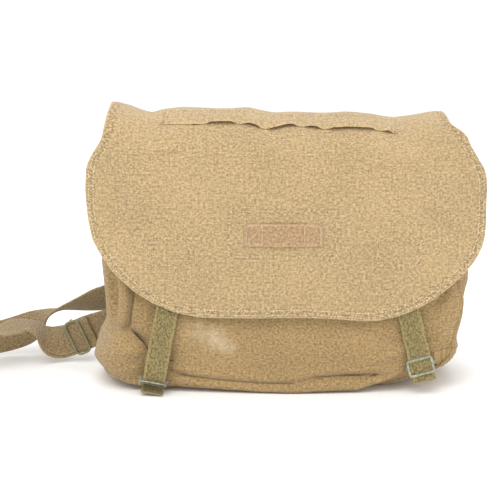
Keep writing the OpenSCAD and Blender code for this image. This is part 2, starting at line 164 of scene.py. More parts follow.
def lumps(x, z, rows):
    """Sum of soft folds; a row is centre x and z, turn in degrees, half length, half width, height."""
    total = np.zeros(np.broadcast(x, z).shape)
    for cx, cz, turn, long, wide, high in rows:
        c, s = math.cos(math.radians(turn)), math.sin(math.radians(turn))
        u, w = (x - cx) * c + (z - cz) * s, (z - cz) * c - (x - cx) * s
        total = total + high * np.exp(-((u / long) ** 2) - (w / wide) ** 2)
    return total


def ripples(x, z, seed, size, height):
    """Gentle uneven cloth: a few crossing sine waves with seeded directions, of about this size."""
    rng = np.random.default_rng(seed)
    total = np.zeros(np.broadcast(x, z).shape)
    for k in range(7):
        turn, phase, scale = rng.uniform(0, math.pi), rng.uniform(0, 6.28), rng.uniform(0.6, 1.6)
        total = total + np.sin((x * math.cos(turn) + z * math.sin(turn)) / (size * scale) * 6.28 + phase)
    return total * height / 7


# ---------------------------------------------------------------- mesh building
def make_object(name, points, quads, tris, uv, worn, seam=None, crisp=None):
    """Mesh object from points in millimetres and faces, with a UV, a wear value (on the label also painted
    highlight) and a painted seam-shade value per point.
    """
    mesh = bpy.data.meshes.new(name)
    quads, tris = np.asarray(quads, int).reshape(-1, 4), np.asarray(tris, int).reshape(-1, 3)
    corners = np.concatenate([quads.ravel(), tris.ravel()]).astype(np.int32)
    starts = np.concatenate([np.arange(len(quads)) * 4, len(quads) * 4 + np.arange(len(tris)) * 3])
    mesh.vertices.add(len(points))
    mesh.vertices.foreach_set("co", (np.asarray(points) * MM).astype(np.float32).ravel())
    mesh.loops.add(len(corners))
    mesh.loops.foreach_set("vertex_index", corners)
    mesh.polygons.add(len(starts))
    mesh.polygons.foreach_set("loop_start", starts.astype(np.int32))
    mesh.update(calc_edges=True)
    mesh.polygons.foreach_set("use_smooth", np.ones(len(starts), bool))
    layer = mesh.uv_layers.new(name=CLOTH_UV)
    layer.data.foreach_set("uv", (np.asarray(uv)[corners] * MM).astype(np.float32).ravel())
    wear = mesh.attributes.new(WEAR_AND_HIGHLIGHT, "FLOAT", "POINT")
    wear.data.foreach_set("value", np.asarray(worn, np.float32).ravel())
    if seam is not None:
        layer = mesh.attributes.new(SEAM_SHADE, "FLOAT", "POINT")
        layer.data.foreach_set("value", np.asarray(seam, np.float32).ravel())
    if crisp is not None:
        ends = np.zeros(len(mesh.edges) * 2, np.int32)
        mesh.edges.foreach_get("vertices", ends)
        layer = mesh.attributes.new("sharp_edge", "BOOLEAN", "EDGE")
        layer.data.foreach_set("value", np.asarray(crisp, bool)[ends.reshape(-1, 2)].all(1))
    mesh.validate()
    piece = bpy.data.objects.new(name, mesh)
    bpy.context.scene.collection.objects.link(piece)
    return piece


def grid_normals(grid):
    """Outward directions of a grid: along its columns crossed with along its rows."""
    return unit(np.cross(np.gradient(grid, axis=1), np.gradient(grid, axis=0)))


def sheet(name, grid, uv, thick, worn=None, flip=False, seam=None, normal=None, joint=None):
    """Closed cloth: the grid moved out and in along its normals by half its thickness; round rim."""
    rows, cols = grid.shape[:2]
    worn = np.zeros((rows, cols)) if worn is None else worn
    if flip:
        grid, uv, worn = grid[:, ::-1], uv[:, ::-1], worn[:, ::-1]
    normal = grid_normals(grid) if normal is None else normal
    seam = np.zeros((rows, cols)) if seam is None else seam
    joint = np.zeros((rows, cols), bool) if joint is None else joint
    half = (thick / 2) if np.ndim(thick) == 0 else (thick / 2)[..., None]
    index = np.arange(rows * cols).reshape(rows, cols)
    loop = np.concatenate([index[0, :-1], index[:-1, -1], index[-1, :0:-1], index[:0:-1, 0]])
    flat = grid.reshape(-1, 3)
    edge = flat[loop]
    away = unit(np.cross(np.roll(edge, -1, 0) - np.roll(edge, 1, 0), normal.reshape(-1, 3)[loop]))
    joined = joint.reshape(-1)
    rim = edge + away * np.where(joined[loop], 0.0, 0.45 * np.mean(thick))[:, None]
    count, edges = rows * cols, len(loop)
    offset = normal * half
    points = np.concatenate([(grid + offset).reshape(-1, 3), (grid - offset).reshape(-1, 3), rim])
    a, b, c, d = index[:-1, :-1], index[:-1, 1:], index[1:, 1:], index[1:, :-1]
    outer = np.stack([a, b, c, d], -1).reshape(-1, 4)
    inner = np.stack([a, d, c, b], -1).reshape(-1, 4) + count
    p, q = loop, np.roll(loop, -1)
    m = 2 * count + np.arange(edges)
    n = np.roll(m, -1)
    sides = np.concatenate([np.stack([q, p, m, n], -1), np.stack([p + count, q + count, n, m], -1)])
    uvs = uv.reshape(-1, 2)
    wear = worn.reshape(-1)
    return make_object(
        name, points, np.concatenate([outer, inner, sides]), [],
        np.concatenate([uvs, uvs, uvs[loop]]),
        np.concatenate([wear, wear, np.where(joined[loop], wear[loop], np.maximum(wear[loop], 0.8))]),
        np.concatenate([seam.reshape(-1), seam.reshape(-1), seam.reshape(-1)[loop]]),
        np.concatenate([joined, joined, joined[loop]]) if joined.any() else None)


def tube(path, radius, sides=12, closed=False, face=None):
    """Tube along a path: a ring of points round each path point; face sets where the ring starts."""
    path = np.asarray(path, float)
    along = np.roll(path, -1, 0) - np.roll(path, 1, 0) if closed else np.gradient(path, axis=0)
    along = unit(along)
    face = np.array([0.0, 1.0, 0.0]) if face is None else face
    side = unit(np.cross(along, np.broadcast_to(face, along.shape)))
    front = np.cross(side, along)
    turn = np.arange(sides) * 2 * math.pi / sides
    radius = np.broadcast_to(np.asarray(radius, float), (len(path),))[:, None, None]
    ring = np.cos(turn)[None, :, None] * side[:, None] + np.sin(turn)[None, :, None] * front[:, None]
    points = (path[:, None] + ring * radius).reshape(-1, 3)
    n = len(path)
    i, k = np.meshgrid(np.arange(n if closed else n - 1), np.arange(sides), indexing="ij")
    a, b = i * sides + k, i * sides + (k + 1) % sides
    c, d = (i + 1) % n * sides + (k + 1) % sides, (i + 1) % n * sides + k
    quads = np.stack([a, b, c, d], -1).reshape(-1, 4)
    tris = np.zeros((0, 3), int)
    if not closed:
        poles = np.array([path[0], path[-1]])
        k = np.arange(sides)
        last = (n - 1) * sides
        tris = np.concatenate([
            np.stack([(k + 1) % sides, k, np.full(sides, n * sides)], -1),
            np.stack([last + k, last + (k + 1) % sides, np.full(sides, n * sides + 1)], -1)])
        points = np.concatenate([points, poles])
    return points, quads, tris


def merge(name, parts, worn=0.0):
    """One object out of several (points, quads, tris) parts."""
    points, quads, tris, shift = [], [], [], 0
    for p, q, t in parts:
        points.append(p)
        quads.append(np.asarray(q, int).reshape(-1, 4) + shift)
        tris.append(np.asarray(t, int).reshape(-1, 3) + shift)
        shift += len(p)
    points = np.concatenate(points)
    return make_object(name, points, np.concatenate(quads), np.concatenate(tris),
                       points[:, [0, 2]], np.full(len(points), worn))


def stitch_shapes(places, along, normals, length, width, height):
    """Short lens-shaped stitches: rings of six points from tip to tip, one at each place."""
    rings = np.array([[-0.36, 0.75], [0.0, 1.0], [0.36, 0.75]])
    turn = np.arange(6) * math.pi / 3
    body = np.array([[r[0], r[1] * math.cos(t), r[1] * math.sin(t)] for r in rings for t in turn])
    body = np.concatenate([body, [[-0.5, 0, -0.6], [0.5, 0, -0.6]]])
    k = np.arange(6)
    n = (k + 1) % 6
    quads = np.concatenate([np.stack([s + k, s + n, s + 6 + n, s + 6 + k], -1) for s in (0, 6)])
    tris = np.concatenate([np.stack([n, k, np.full(6, 18)], -1),
                           np.stack([12 + k, 12 + n, np.full(6, 19)], -1)])
    side = unit(np.cross(normals, along))
    scale = body * np.array([length, width / 2, height / 2])
    points = (places[:, None] + scale[None, :, :1] * along[:, None]
              + scale[None, :, 1:2] * side[:, None] + scale[None, :, 2:] * normals[:, None])
    shift = (np.arange(len(places)) * len(body))[:, None, None]
    quads, tris = (faces[None] + shift for faces in (quads, tris))
    return points.reshape(-1, 3), quads.reshape(-1, 4), tris.reshape(-1, 3)


def stitch_line(places, normals, pitch, size, lift=0.0):
    """Stitches at even steps along a line of places; size is one stitch's length, width and height."""
    marks = evenly(np.hstack([places, np.broadcast_to(normals, places.shape)]), pitch)
    middle, along = (marks[1:] + marks[:-1]) / 2, unit(marks[1:, :3] - marks[:-1, :3])
    return stitch_shapes(middle[:, :3] + middle[:, 3:] * lift, along, unit(middle[:, 3:]), *size)


def sewn(lines, surface, seed, pitch=3.3, length=2.5, width=0.75, skip=0.0, wander=0.12, lift=0.1):
    """Stitches along lines on a surface, which gives each point's place and outward direction."""
    rng = np.random.default_rng(seed)
    parts = []
    for line in lines:
        marks = evenly(line, pitch)
        middles = (marks[1:] + marks[:-1]) / 2
        middles = middles + rng.normal(0, wander, middles.shape)
        keep = rng.uniform(size=len(middles)) >= skip
        places, normals = surface(middles)
        ends, _ = surface(marks)
        along = unit(ends[1:] - ends[:-1])
        normals = unit(normals)
        parts.append(stitch_shapes((places + normals * lift)[keep], along[keep], normals[keep],
                                   length, width, 0.8 * width))
    return parts


def threads(starts, directions, normals, seed, reach, thick=0.16):
    """Loose thread ends: thin curved tubes that leave each start and droop."""
    rng = np.random.default_rng(seed)
    parts = []
    for start, way, up in zip(starts, directions, normals):
        size = reach * rng.uniform(0.5, 1.2)
        swing = rng.normal(0, 0.5, 3)
        t = np.linspace(0, 1, 6)[:, None]
        path = start + way * size * t + up * size * 0.25 * np.sin(2.5 * t) + swing * size * 0.5 * t ** 2
        parts.append(tube(path, thick, sides=5, face=up))
    return parts


# ---------------------------------------------------------------- outlines of the visible cloth
COVER_EDGE = [  # lower edge of the flap from the left side round to the right side: x, z
    (-224, 236), (-223.6, 226), (-221.4, 204), (-217, 183), (-206, 162.5), (-196, 147.5),
    (-181.5, 133.8), (-170, 123.6), (-149, 110.6), (-123.5, 99.8), (-96, 94.4), (-66, 93.3),
    (-20, 93.2), (27, 93.6), (57, 92.1), (87, 89.8), (108.5, 90.2), (132.6, 95.3), (155, 104.4),
    (174, 115.5), (196, 133.6), (209, 145.6), (222, 163.8), (226.6, 173.5), (229.6, 186), (230, 201),
    (230.2, 216), (230.6, 236)]
LEFT_SIDE = [(240, 224), (252, 223.6), (262, 223), (269, 221), (276, 217), (283, 212), (292, 205),
             (300, 203), (312, 201), (322, 199), (330, 198.5)]
RIGHT_SIDE = [(240, 230.6), (250, 230.4), (262, 227.6), (274, 220.4), (289, 213), (299, 209),
              (305, 206.5), (310, 202), (313.5, 196.5), (316.5, 191), (320, 189.5), (330, 187)]
CREST = [(-205, 5.2), (-194, 5), (-181, 2.6), (-167, -2.6), (-153, -6.4), (-139, -2.6), (-124, -1.2),
         (-80, -1), (-39, -1.2), (-32, -3), (-25, -5), (-11, -7.2), (3, -6), (18, -6), (45, -7.4),
         (74, -6), (89, -7.2), (103, -8.6), (117, -11), (131, -12.4), (145, -11), (160, -8.6),
         (174, -6.2), (190, -6)]
LEFT_SEAM = [(0, -156), (14, -157), (30, -156), (46, -157), (58, -162), (66, -171), (74, -180),
             (84, -179), (100, -176.5), (120, -173), (150, -174), (220, -184), (290, -190)]
RIGHT_SEAM = [(0, 186), (20, 192), (40, 196), (54, 197.5), (64, 200), (75, 201.6), (91, 206), (106, 209),
              (116, 205), (128, 200), (160, 195), (220, 192), (290, 191)]
FRONT_BASE = [(-200, 16), (-157, 14.5), (-136, 13.5), (-112, 10.7), (-88, 8.3), (-66, 6), (-51, 4.6),
              (-20, 2.6), (20, 1.8), (43, 3.4), (74, 4.8), (88, 4.6), (96, 4.2), (104, 8), (113, 14),
              (124, 19.5), (134.6, 26), (145.4, 33), (160, 41.5), (175, 48.8), (188, 52), (200, 55)]
CREASE = [(-160, 28), (-136, 26), (-103, 19), (-57, 14.6), (-20, 11.5), (5, 12), (20, 13.4), (38, 18.4),
          (74, 21.5), (107, 22.4), (122, 20)]
CREASE_DEPTH = [(-160, 1), (-140, 2.4), (-115, 3.2), (-100, 4.4), (-85, 2.2), (-50, 2.4), (-15, 2.8),
                (15, 2.2), (50, 3.2), (80, 3.6), (104, 5), (114, 3), (122, 0.2)]


def flap_profile():
    """Side view of the flap at even steps: up the back wall, over the crest, round the bend, down."""
    tail = np.stack([np.full(14, BACK_Y + 2.4), np.linspace(302, HINGE_Z - 3, 14)], -1)
    y = np.linspace(BACK_Y - 1.5, CREST_Y, 30)
    crest = np.stack([y, HINGE_Z + CREST_RISE * (1 - ((y - CREST_Y) / (BACK_Y - CREST_Y)) ** 2)], -1)
    turn = np.linspace(0, math.pi / 2, 60)[1:]
    bend = np.stack([CREST_Y - BEND_Y * np.sin(turn), BEND_BASE + BEND_Z * np.cos(turn)], -1)
    z = np.linspace(BEND_BASE - 3, 78, 60)
    forward = 8 * np.sin(math.pi / 2 * np.clip((BEND_BASE - z) / 145, 0, 1))
    front = np.stack([CREST_Y - BEND_Y - forward, z], -1)
    return evenly(np.concatenate([tail, crest, bend, front]), 1.0)


PROFILE = flap_profile()
RUN = np.arange(len(PROFILE), dtype=float)
OUTWARD = unit(np.stack([-np.gradient(PROFILE[:, 1]), np.gradient(PROFILE[:, 0])], -1)) * -1.0
CREST_RUN = float(RUN[np.argmax(PROFILE[:, 1])])


def run_at_height(z):
    """Distance along the profile where the front of the flap is at height z."""
    front = RUN > CREST_RUN
    return np.interp(-np.asarray(z, float), -PROFILE[front, 1], RUN[front])


def run_at_depth(y):
    """Distance along the profile where the top of the flap is at depth y."""
    top = (RUN > 16) & (PROFILE[:, 1] > 290)
    return np.interp(-np.asarray(y, float), -PROFILE[top, 0], RUN[top])


def rise_at(run):
    """Height on the profile; a fixed high value behind the crest, where heights would repeat."""
    z = np.interp(run, RUN, PROFILE[:, 1])
    return np.where(run > CREST_RUN, z, 328.0)


JOINT = float(run_at_depth(-28.0))
HEM = 9.5
CLOTH_TOP = 310.0        # cloth coordinate at the joint between crown and cover
FLAP_DENTS = [  # centre x and z, turn, half length, half width, height
    (-128, 281, 4, 20, 3.6, -2.4), (-128, 288, 4, 22, 4, 1.2), (118, 243, -12, 16, 5, -2.0),
    (172, 208, -42, 30, 9, -3.4), (188, 191, -38, 30, 8, -4.2), (206, 214, -34, 30, 10, 2.6),
    (150, 226, -40, 26, 10, 1.6), (-190, 205, 82, 52, 7, -4.2), (-198, 264, 66, 30, 9, -3.0),
    (-208, 226, 84, 50, 6, 2.2), (-162, 238, 66, 40, 16, 2.2), (-176, 180, 60, 30, 9, -2.2),
    (170, 296, -6, 36, 5, -2.4), (186, 303, -4, 26, 4, 1.6), (205, 172, -50, 34, 7, 2.4),
    (196, 160, -46, 26, 5, -1.8), (-20, 140, 4, 60, 26, -2.0), (70, 120, -6, 50, 18, 1.4),
    (10, 166, 0, 34, 4, -0.8), (-70, 128, 8, 40, 14, 1.2), (40, 255, 10, 70, 20, -1.2),
    (22, 122, 0, 4, 1.4, 1.6), (16, 112, 0, 6, 1.4, 1.2), (-60, 222, -35, 34, 10, 1.0),
    (95, 200, 24, 34, 9, -1.2), (-100, 190, -24, 34, 10, -1.6), (130, 275, 16, 30, 8, 1.2),
    (-110, 250, 30, 40, 10, -1.0), (60, 290, -10, 40, 8, -1.0), (-40, 178, 12, 20, 8, -0.8)]
SEWN_BOXES = [(-61, 60, 164, 216), (-151, -106, 154, 186), (107, 156, 154, 184)]


def hem_ridge(distance):
    """Doubled hem: raised inside about 9.5 mm of the edge, pinched along its two stitch rows."""
    raised = 0.55 * ease(11.5 - distance, 0, 2.5)
    return raised - 0.3 * bell(distance, 3.0, 0.8) - 0.3 * bell(distance, 8.2, 0.8)


def side_reach(x, rise):
    """Half width of the flap on the side where x lies, at a place along its sides."""
    return np.where(x < 0, through(rise, LEFT_SIDE), through(rise, RIGHT_SIDE))


COVER_LINE = evenly(COVER_EDGE, 2.0)


def edge_distance(x, run):
    """Distance from a point of the flap to its outer edge."""
    x, run = np.broadcast_arrays(np.asarray(x, float), np.asarray(run, float))
    rise = rise_at(run)
    flat = np.stack([x.ravel(), rise.ravel()], -1)
    best = np.full(len(flat), 1e9)
    for k in range(0, len(COVER_LINE), 24):
        part = COVER_LINE[k:k + 24]
        best = np.minimum(best, np.sqrt(((flat[:, None] - part[None]) ** 2).sum(-1)).min(1))
    best = best.reshape(x.shape)
    side = side_reach(x, rise) - np.abs(x)
    return np.where(rise > 238, np.minimum(best, side), best)


def seam_shade_mask(x, run):
    """Painted shade of the puckered hem band and of the ridges beside the stitched rectangles: 1 there, 0
    elsewhere.
    """
    edge = edge_distance(x, run)
    mask = ease(edge, 0.5, 2.5) * (1 - ease(edge, HEM - 0.5, HEM + 1.5))
    rise = np.where(run > JOINT, rise_at(run), 400.0)
    for x0, x1, z0, z1 in SEWN_BOXES:
        inside = np.minimum(np.minimum(x - x0, x1 - x), np.minimum(rise - z0, z1 - rise))
        mask = np.maximum(mask, 0.75 * bell(inside, 0.5, 2.2))
    return mask


def flap_at(x, run):
    """Middle surface of the flap: its profile, moved out by dents, ripples and hem, up by the crest."""
    x, run = np.broadcast_arrays(np.asarray(x, float), np.asarray(run, float))
    y, z = np.interp(run, RUN, PROFILE[:, 0]), np.interp(run, RUN, PROFILE[:, 1])
    ny, nz = np.interp(run, RUN, OUTWARD[:, 0]), np.interp(run, RUN, OUTWARD[:, 1])
    front = ease(run, JOINT - 8, JOINT + 26)
    push = lumps(x, z, FLAP_DENTS) * front + ripples(x, run, 4, 130, 2.2) * front
    strap = np.maximum(bell(x, -146, 26), bell(x, 140, 26)) * ease(190 - z, 0, 10) * front
    push = push * (1 - 0.8 * strap)
    waves = ripples(x, run, 9, 46, 0.8) + ripples(x, run, 12, 90, 1.2) * (1 - front)
    push = push + waves * ease(run, 12, 40)
    push = push + hem_ridge(edge_distance(x, run))
    y = y + push * ny + 10 * (np.abs(x) / 229.0) ** 6 * front
    share = np.where(run < CREST_RUN, 0.86 + 0.14 * ease(run, 10, CREST_RUN), ease(z, 258, 318))
    z = z + push * nz + through(x, CREST) * share
    return np.stack([x, y, z], -1)


# ---------------------------------------------------------------- bag body surfaces
def seam_x(side, z):
    """X of a front corner seam at height z."""
    return through(z, LEFT_SEAM if side < 0 else RIGHT_SEAM)


FRONT_FOLDS = [(150, 58, 24, 34, 7, 2.0), (168, 62, 30, 22, 4, -2.6), (186, 86, 78, 34, 8, 2.6),
               (184, 114, 60, 14, 7, -4.0), (-168, 60, -62, 22, 6, -2.6), (-131, 42, 80, 13, 7, -4.2),
               (-112, 58, 76, 22, 8, 2.0), (-60, 62, 8, 60, 12, 1.6), (60, 54, -4, 70, 12, 1.8),
               (120, 44, 12, 34, 7, 1.8), (30, 84, 0, 110, 9, -1.6), (-150, 90, 70, 30, 8, -2.0),
               (100, 76, -30, 34, 8, -1.6), (-20, 40, 6, 50, 7, 1.2), (150, 84, 50, 30, 8, -2.0),
               (-90, 84, -10, 30, 8, 1.4)]


def front_at(a, v):
    """Front panel: a runs left to right, v up. It swells forwards and creases above its lower edge."""
    x0 = mix(-157.0, 197.5, a)
    z_low = through(x0, FRONT_BASE)
    z = mix(z_low, MOUTH_Z, v)
    left, right = seam_x(-1, z), seam_x(1, z)
    x = mix(left, right, a)
    c = 2 * a - 1
    t = (z - 12) / (MOUTH_Z - 12)
    swell = 3 + 2 * (1 - t) + 6 * bell(t, 0.18, 0.22)
    y = -43 + 3 * t - swell * (1 - c ** 4)
    y = y - lumps(x, z, FRONT_FOLDS) - ripples(x, z, 21, 80, 1.8) * ease(z, 10, 40)
    above = z - through(x, CREASE)
    deep = through(x, CREASE_DEPTH)
    y = y + deep * np.exp(-(np.where(above > 0, above / 2.6, above / 5.0) ** 2))
    y = y - 0.5 * deep * bell(above, 6.5, 4.0)
    y = y - 4.5 * bell(z, 3, 12) * bell(x, 15, 70)
    slit = ease(z, 72, 84)
    y = y + 6.0 * slit * np.exp(-(((x - left) / 2.4) ** 2)) * (1 - ease(z, 150, 220))
    y = y + 4.0 * bell(z, 70, 14) * np.exp(-(((x - left) / 9.0) ** 2))
    return np.stack([x, y, z], -1)


def back_x(side, z):
    """X of a back corner seam at height z."""
    return side * mix(204.0, 196.0, (z - 10) / 306)


BACK_FOLDS = [(-60, 120, 30, 90, 30, 1.4), (80, 190, -20, 90, 34, -1.4), (0, 60, 4, 120, 16, 1.5),
              (120, 90, 40, 50, 14, 1.2)]


def back_at(a, v):
    """Back panel: a runs right to left, v runs up."""
    c = 1 - 2 * a
    z = mix(10 + 12 * np.abs(c) ** 3, HINGE_Z - 1.6, v)
    x = mix(back_x(1, z), back_x(-1, z), a)
    z = z + through(x, CREST) * 0.86 * ease(z, 230, 312)
    swell = (2 + 4 * bell(v, 0.25, 0.3)) * (1 - v ** 4)
    y = BACK_Y + swell * (1 - c ** 4)
    return np.stack(np.broadcast_arrays(x, y, z), -1)


SIDE_NETS = {  # height: places x, y from the front seam round to the back seam
    -1: {
        12: [(-157, -42), (-170, -43), (-184, -41), (-197, -31), (-206, -15), (-211, 1), (-213, 18),
             (-212, 40), (-203, 60)],
        28: [(-156, -44), (-170, -48), (-188, -49), (-205, -40), (-216, -22), (-222, -2), (-223, 18),
             (-221, 42), (-204, 60)],
        40: [(-156, -46), (-170, -50), (-189, -52), (-206, -44), (-217, -26), (-223, -4), (-224, 18),
             (-222, 44), (-204, 60)],
        52: [(-160, -46), (-172, -55), (-187, -57), (-201, -48), (-211, -30), (-218, -8), (-221, 16),
             (-220, 44), (-204, 60)],
        67: [(-172, -43), (-180, -49), (-189, -50), (-197, -42), (-204, -28), (-211, -8), (-213.5, 16),
             (-213.5, 44), (-203, 60)],
        75: [(-180, -36), (-184, -38), (-188, -37), (-192, -28), (-198, -18), (-207, -4), (-212, 18),
             (-212, 45), (-203, 60)],
        82: [(-180, -37), (-185, -45), (-190, -42), (-191, -29), (-194, -15), (-206, -2), (-212, 18),
             (-212, 45), (-203, 60)],
        95: [(-177, -38), (-183, -47), (-190, -43), (-190, -28), (-190, -10), (-206, 0), (-212.5, 20),
             (-212.5, 45), (-203, 60)],
        120: [(-173, -38), (-181, -47), (-189, -43), (-190, -26), (-189, -6), (-206, 4), (-214.5, 22),
              (-214.5, 46), (-203, 60)],
        180: [(-178, -41), (-186, -45), (-193, -40), (-192, -24), (-188, -6), (-202, 8), (-215, 26),
              (-215, 48), (-202, 60)],
        250: [(-186, -42), (-192, -42), (-197, -34), (-196, -18), (-192, -2), (-198, 14), (-205, 30),
              (-206, 48), (-200, 60)],
        300: [(-190, -42), (-192, -36), (-193, -26), (-192, -14), (-191, 0), (-192, 16), (-194, 32),
              (-196, 46), (-196, 60)]},
    1: {
        44: [(197, -46), (201, -41), (204, -28), (207, -13), (210, 2), (213, 16), (214, 30), (213, 46),
             (204, 60)],
        60: [(199, -45), (203, -41), (205, -30), (205, -15), (209, 0), (215, 14), (218, 28), (217, 46),
             (204, 60)],
        70: [(201, -44), (204, -41), (204, -31), (200, -17), (202, -2), (213, 12), (220, 26), (219, 46),
             (204, 60)],
        78: [(202, -44), (205, -41), (203, -32), (196, -18), (198, -4), (211, 12), (221, 26), (219, 46),
             (204, 60)],
        90: [(206, -43), (208, -40), (207, -30), (203, -16), (204, -2), (213, 12), (221, 28), (219, 46),
             (204, 60)],
        106: [(208, -42), (210, -40), (208, -32), (202, -18), (202, -4), (213, 10), (223, 26),
              (221, 46), (203, 60)],
        120: [(203, -42), (207, -42), (206, -34), (199, -18), (199, -2), (214, 12), (226, 28),
              (223, 48), (203, 60)],
        160: [(195, -41), (199, -42), (201, -36), (198, -20), (196, -4), (208, 12), (221, 28),
              (219, 48), (202, 60)],
        250: [(191, -42), (194, -40), (196, -32), (195, -18), (192, -2), (195, 14), (199, 30),
              (200, 48), (196, 60)],
        300: [(190, -42), (190, -36), (189, -26), (187, -14), (186, 0), (187, 16), (188, 32), (189, 46),
              (189, 60)]},
}


def net(table, s, z):
    """Smooth surface through a table of places: rows at heights, columns at even shares s."""
    heights = sorted(table)
    places = np.array([table[h] for h in heights], float)

    def blend(at, count):
        first = np.clip(np.floor(at).astype(int), 0, count - 2)
        f = at - first
        weight = np.stack([-f + 2 * f ** 2 - f ** 3, 2 - 5 * f ** 2 + 3 * f ** 3,
                           f + 4 * f ** 2 - 3 * f ** 3, -f ** 2 + f ** 3], -1) / 2
        return np.clip(first[..., None] + np.arange(-1, 3), 0, count - 1), weight

    rows, row_weight = blend(np.interp(z, heights, np.arange(len(heights))), len(heights))
    cols, col_weight = blend(s * (places.shape[1] - 1), places.shape[1])
    picked = places[rows[..., :, None], cols[..., None, :]]
    return (picked * row_weight[..., :, None, None] * col_weight[..., None, :, None]).sum((-3, -2))


SIDE_DEPTH = 130.0      # width of a side panel's cloth, front to back
SIDE_FOLDS = {
    -1: [(14, 44, -8, 14, 2.2, -2.6), (20, 34, -26, 16, 3, -2.0), (26, 28, -30, 20, 3, 1.6),
         (60, 60, 20, 30, 5, -1.8), (84, 130, 84, 50, 5, 1.4), (70, 36, -16, 26, 4, 1.4)],
    1: [(40, 62, -10, 30, 4, -2.0), (60, 100, 70, 30, 5, 1.6), (84, 130, 84, 50, 5, 1.4),
        (30, 52, 10, 24, 3, 1.6)]}


def gusset_at(side, s, v):
    """Side panel: s runs front to back, v up. Two ridges and a valley above, a gathered pouch below."""
    low = mix(14.5, 20.0, s) if side < 0 else np.interp(s, [0, 0.4, 1], [55.0, 47.0, 24.0])
    z = mix(low, mix(MOUTH_Z, HINGE_Z - 3, s), v)
    place = net(SIDE_NETS[side], s, z)
    x, y = place[..., 0], place[..., 1]
    blend = 1 - ease(s, 0, 0.06)
    x = mix(x, seam_x(side, z), blend)
    x = mix(x, back_x(side, z), ease(s, 0.88, 1.0))
    depth = s * SIDE_DEPTH
    fold = lumps(depth, z, SIDE_FOLDS[side]) * ease(s, 0.02, 0.1)
    x = x + side * fold
    y = y - fold * (1 - ease(s, 0.2, 0.45))
    x = x + side * ripples(depth, z, 40 + side, 50, 1.0) * ease(s, 0.02, 0.15) * ease(1 - s, 0.02, 0.15)
    z = z + through(np.array([side * 196.0]), CREST)[0] * 0.86 * ease(z, 230, 312)
    return np.stack([x, y, z], -1)


SIDE_DROP = [(0, 1), (0.01, 0.84), (0.03, 0.6), (0.06, 0.38), (0.1, 0.25), (0.16, 0.1), (0.3, 0.02),
             (0.5, 0)]
FRONT_DROP = [(0, 1), (0.01, 0.86), (0.03, 0.64), (0.06, 0.46), (0.12, 0.34), (0.25, 0.2), (0.45, 0.05),
              (0.6, 0)]


def base_at(t, w):
    """Base: t runs round the rim's four sides, w from rim to middle. It curves under and lies flat."""
    sides = [front_at(np.clip(t, 0, 1), 0 * t), gusset_at(1, np.clip(t - 1, 0, 1), 0 * t),
             back_at(np.clip(t - 2, 0, 1), 0 * t), gusset_at(-1, np.clip(4 - t, 0, 1), 0 * t)]
    side = np.clip(t.astype(int), 0, 3)
    rim = np.choose(side[..., None], sides)
    facing = ease(t, -0.12, 0.05) * (1 - ease(t, 0.92, 1.15)) + ease(t, 3.9, 4.05)
    flank, face = (np.interp(w, *np.transpose(rows)) for rows in (SIDE_DROP, FRONT_DROP))
    drop = mix(flank, face, facing)
    corner = ease(t, 0.72, 0.9) * (1 - ease(t, 1.45, 1.85))
    drop = mix(drop, np.clip(1 - w / 0.42, 0, 1) ** 1.15, 0.5 * corner)
    low = 1.0
    z = low + (rim[..., 2] - low) * drop
    x, y = mix(rim[..., 0], 0, w), mix(rim[..., 1], 0, w)
    out = bell(w, 0.035, 0.03) * ease(rim[..., 2], 10, 30) * 3.0 * (1 - corner)
    y = y - out * facing
    x = x + np.sign(x) * out * (1 - facing) * ease(np.abs(x), 120, 190)
    tuck = 1 - ease(w, 0, 0.008)
    x, y, z = x - np.sign(x) * 1.5 * tuck * (1 - facing), y - np.sign(y) * 2.2 * tuck, z + 3 * tuck
    z = z + 1.4 * np.sin(t * 43) * bell(w, 0.05, 0.04) * ease(rim[..., 2], 14, 40)
    return np.stack([x, y, z], -1)


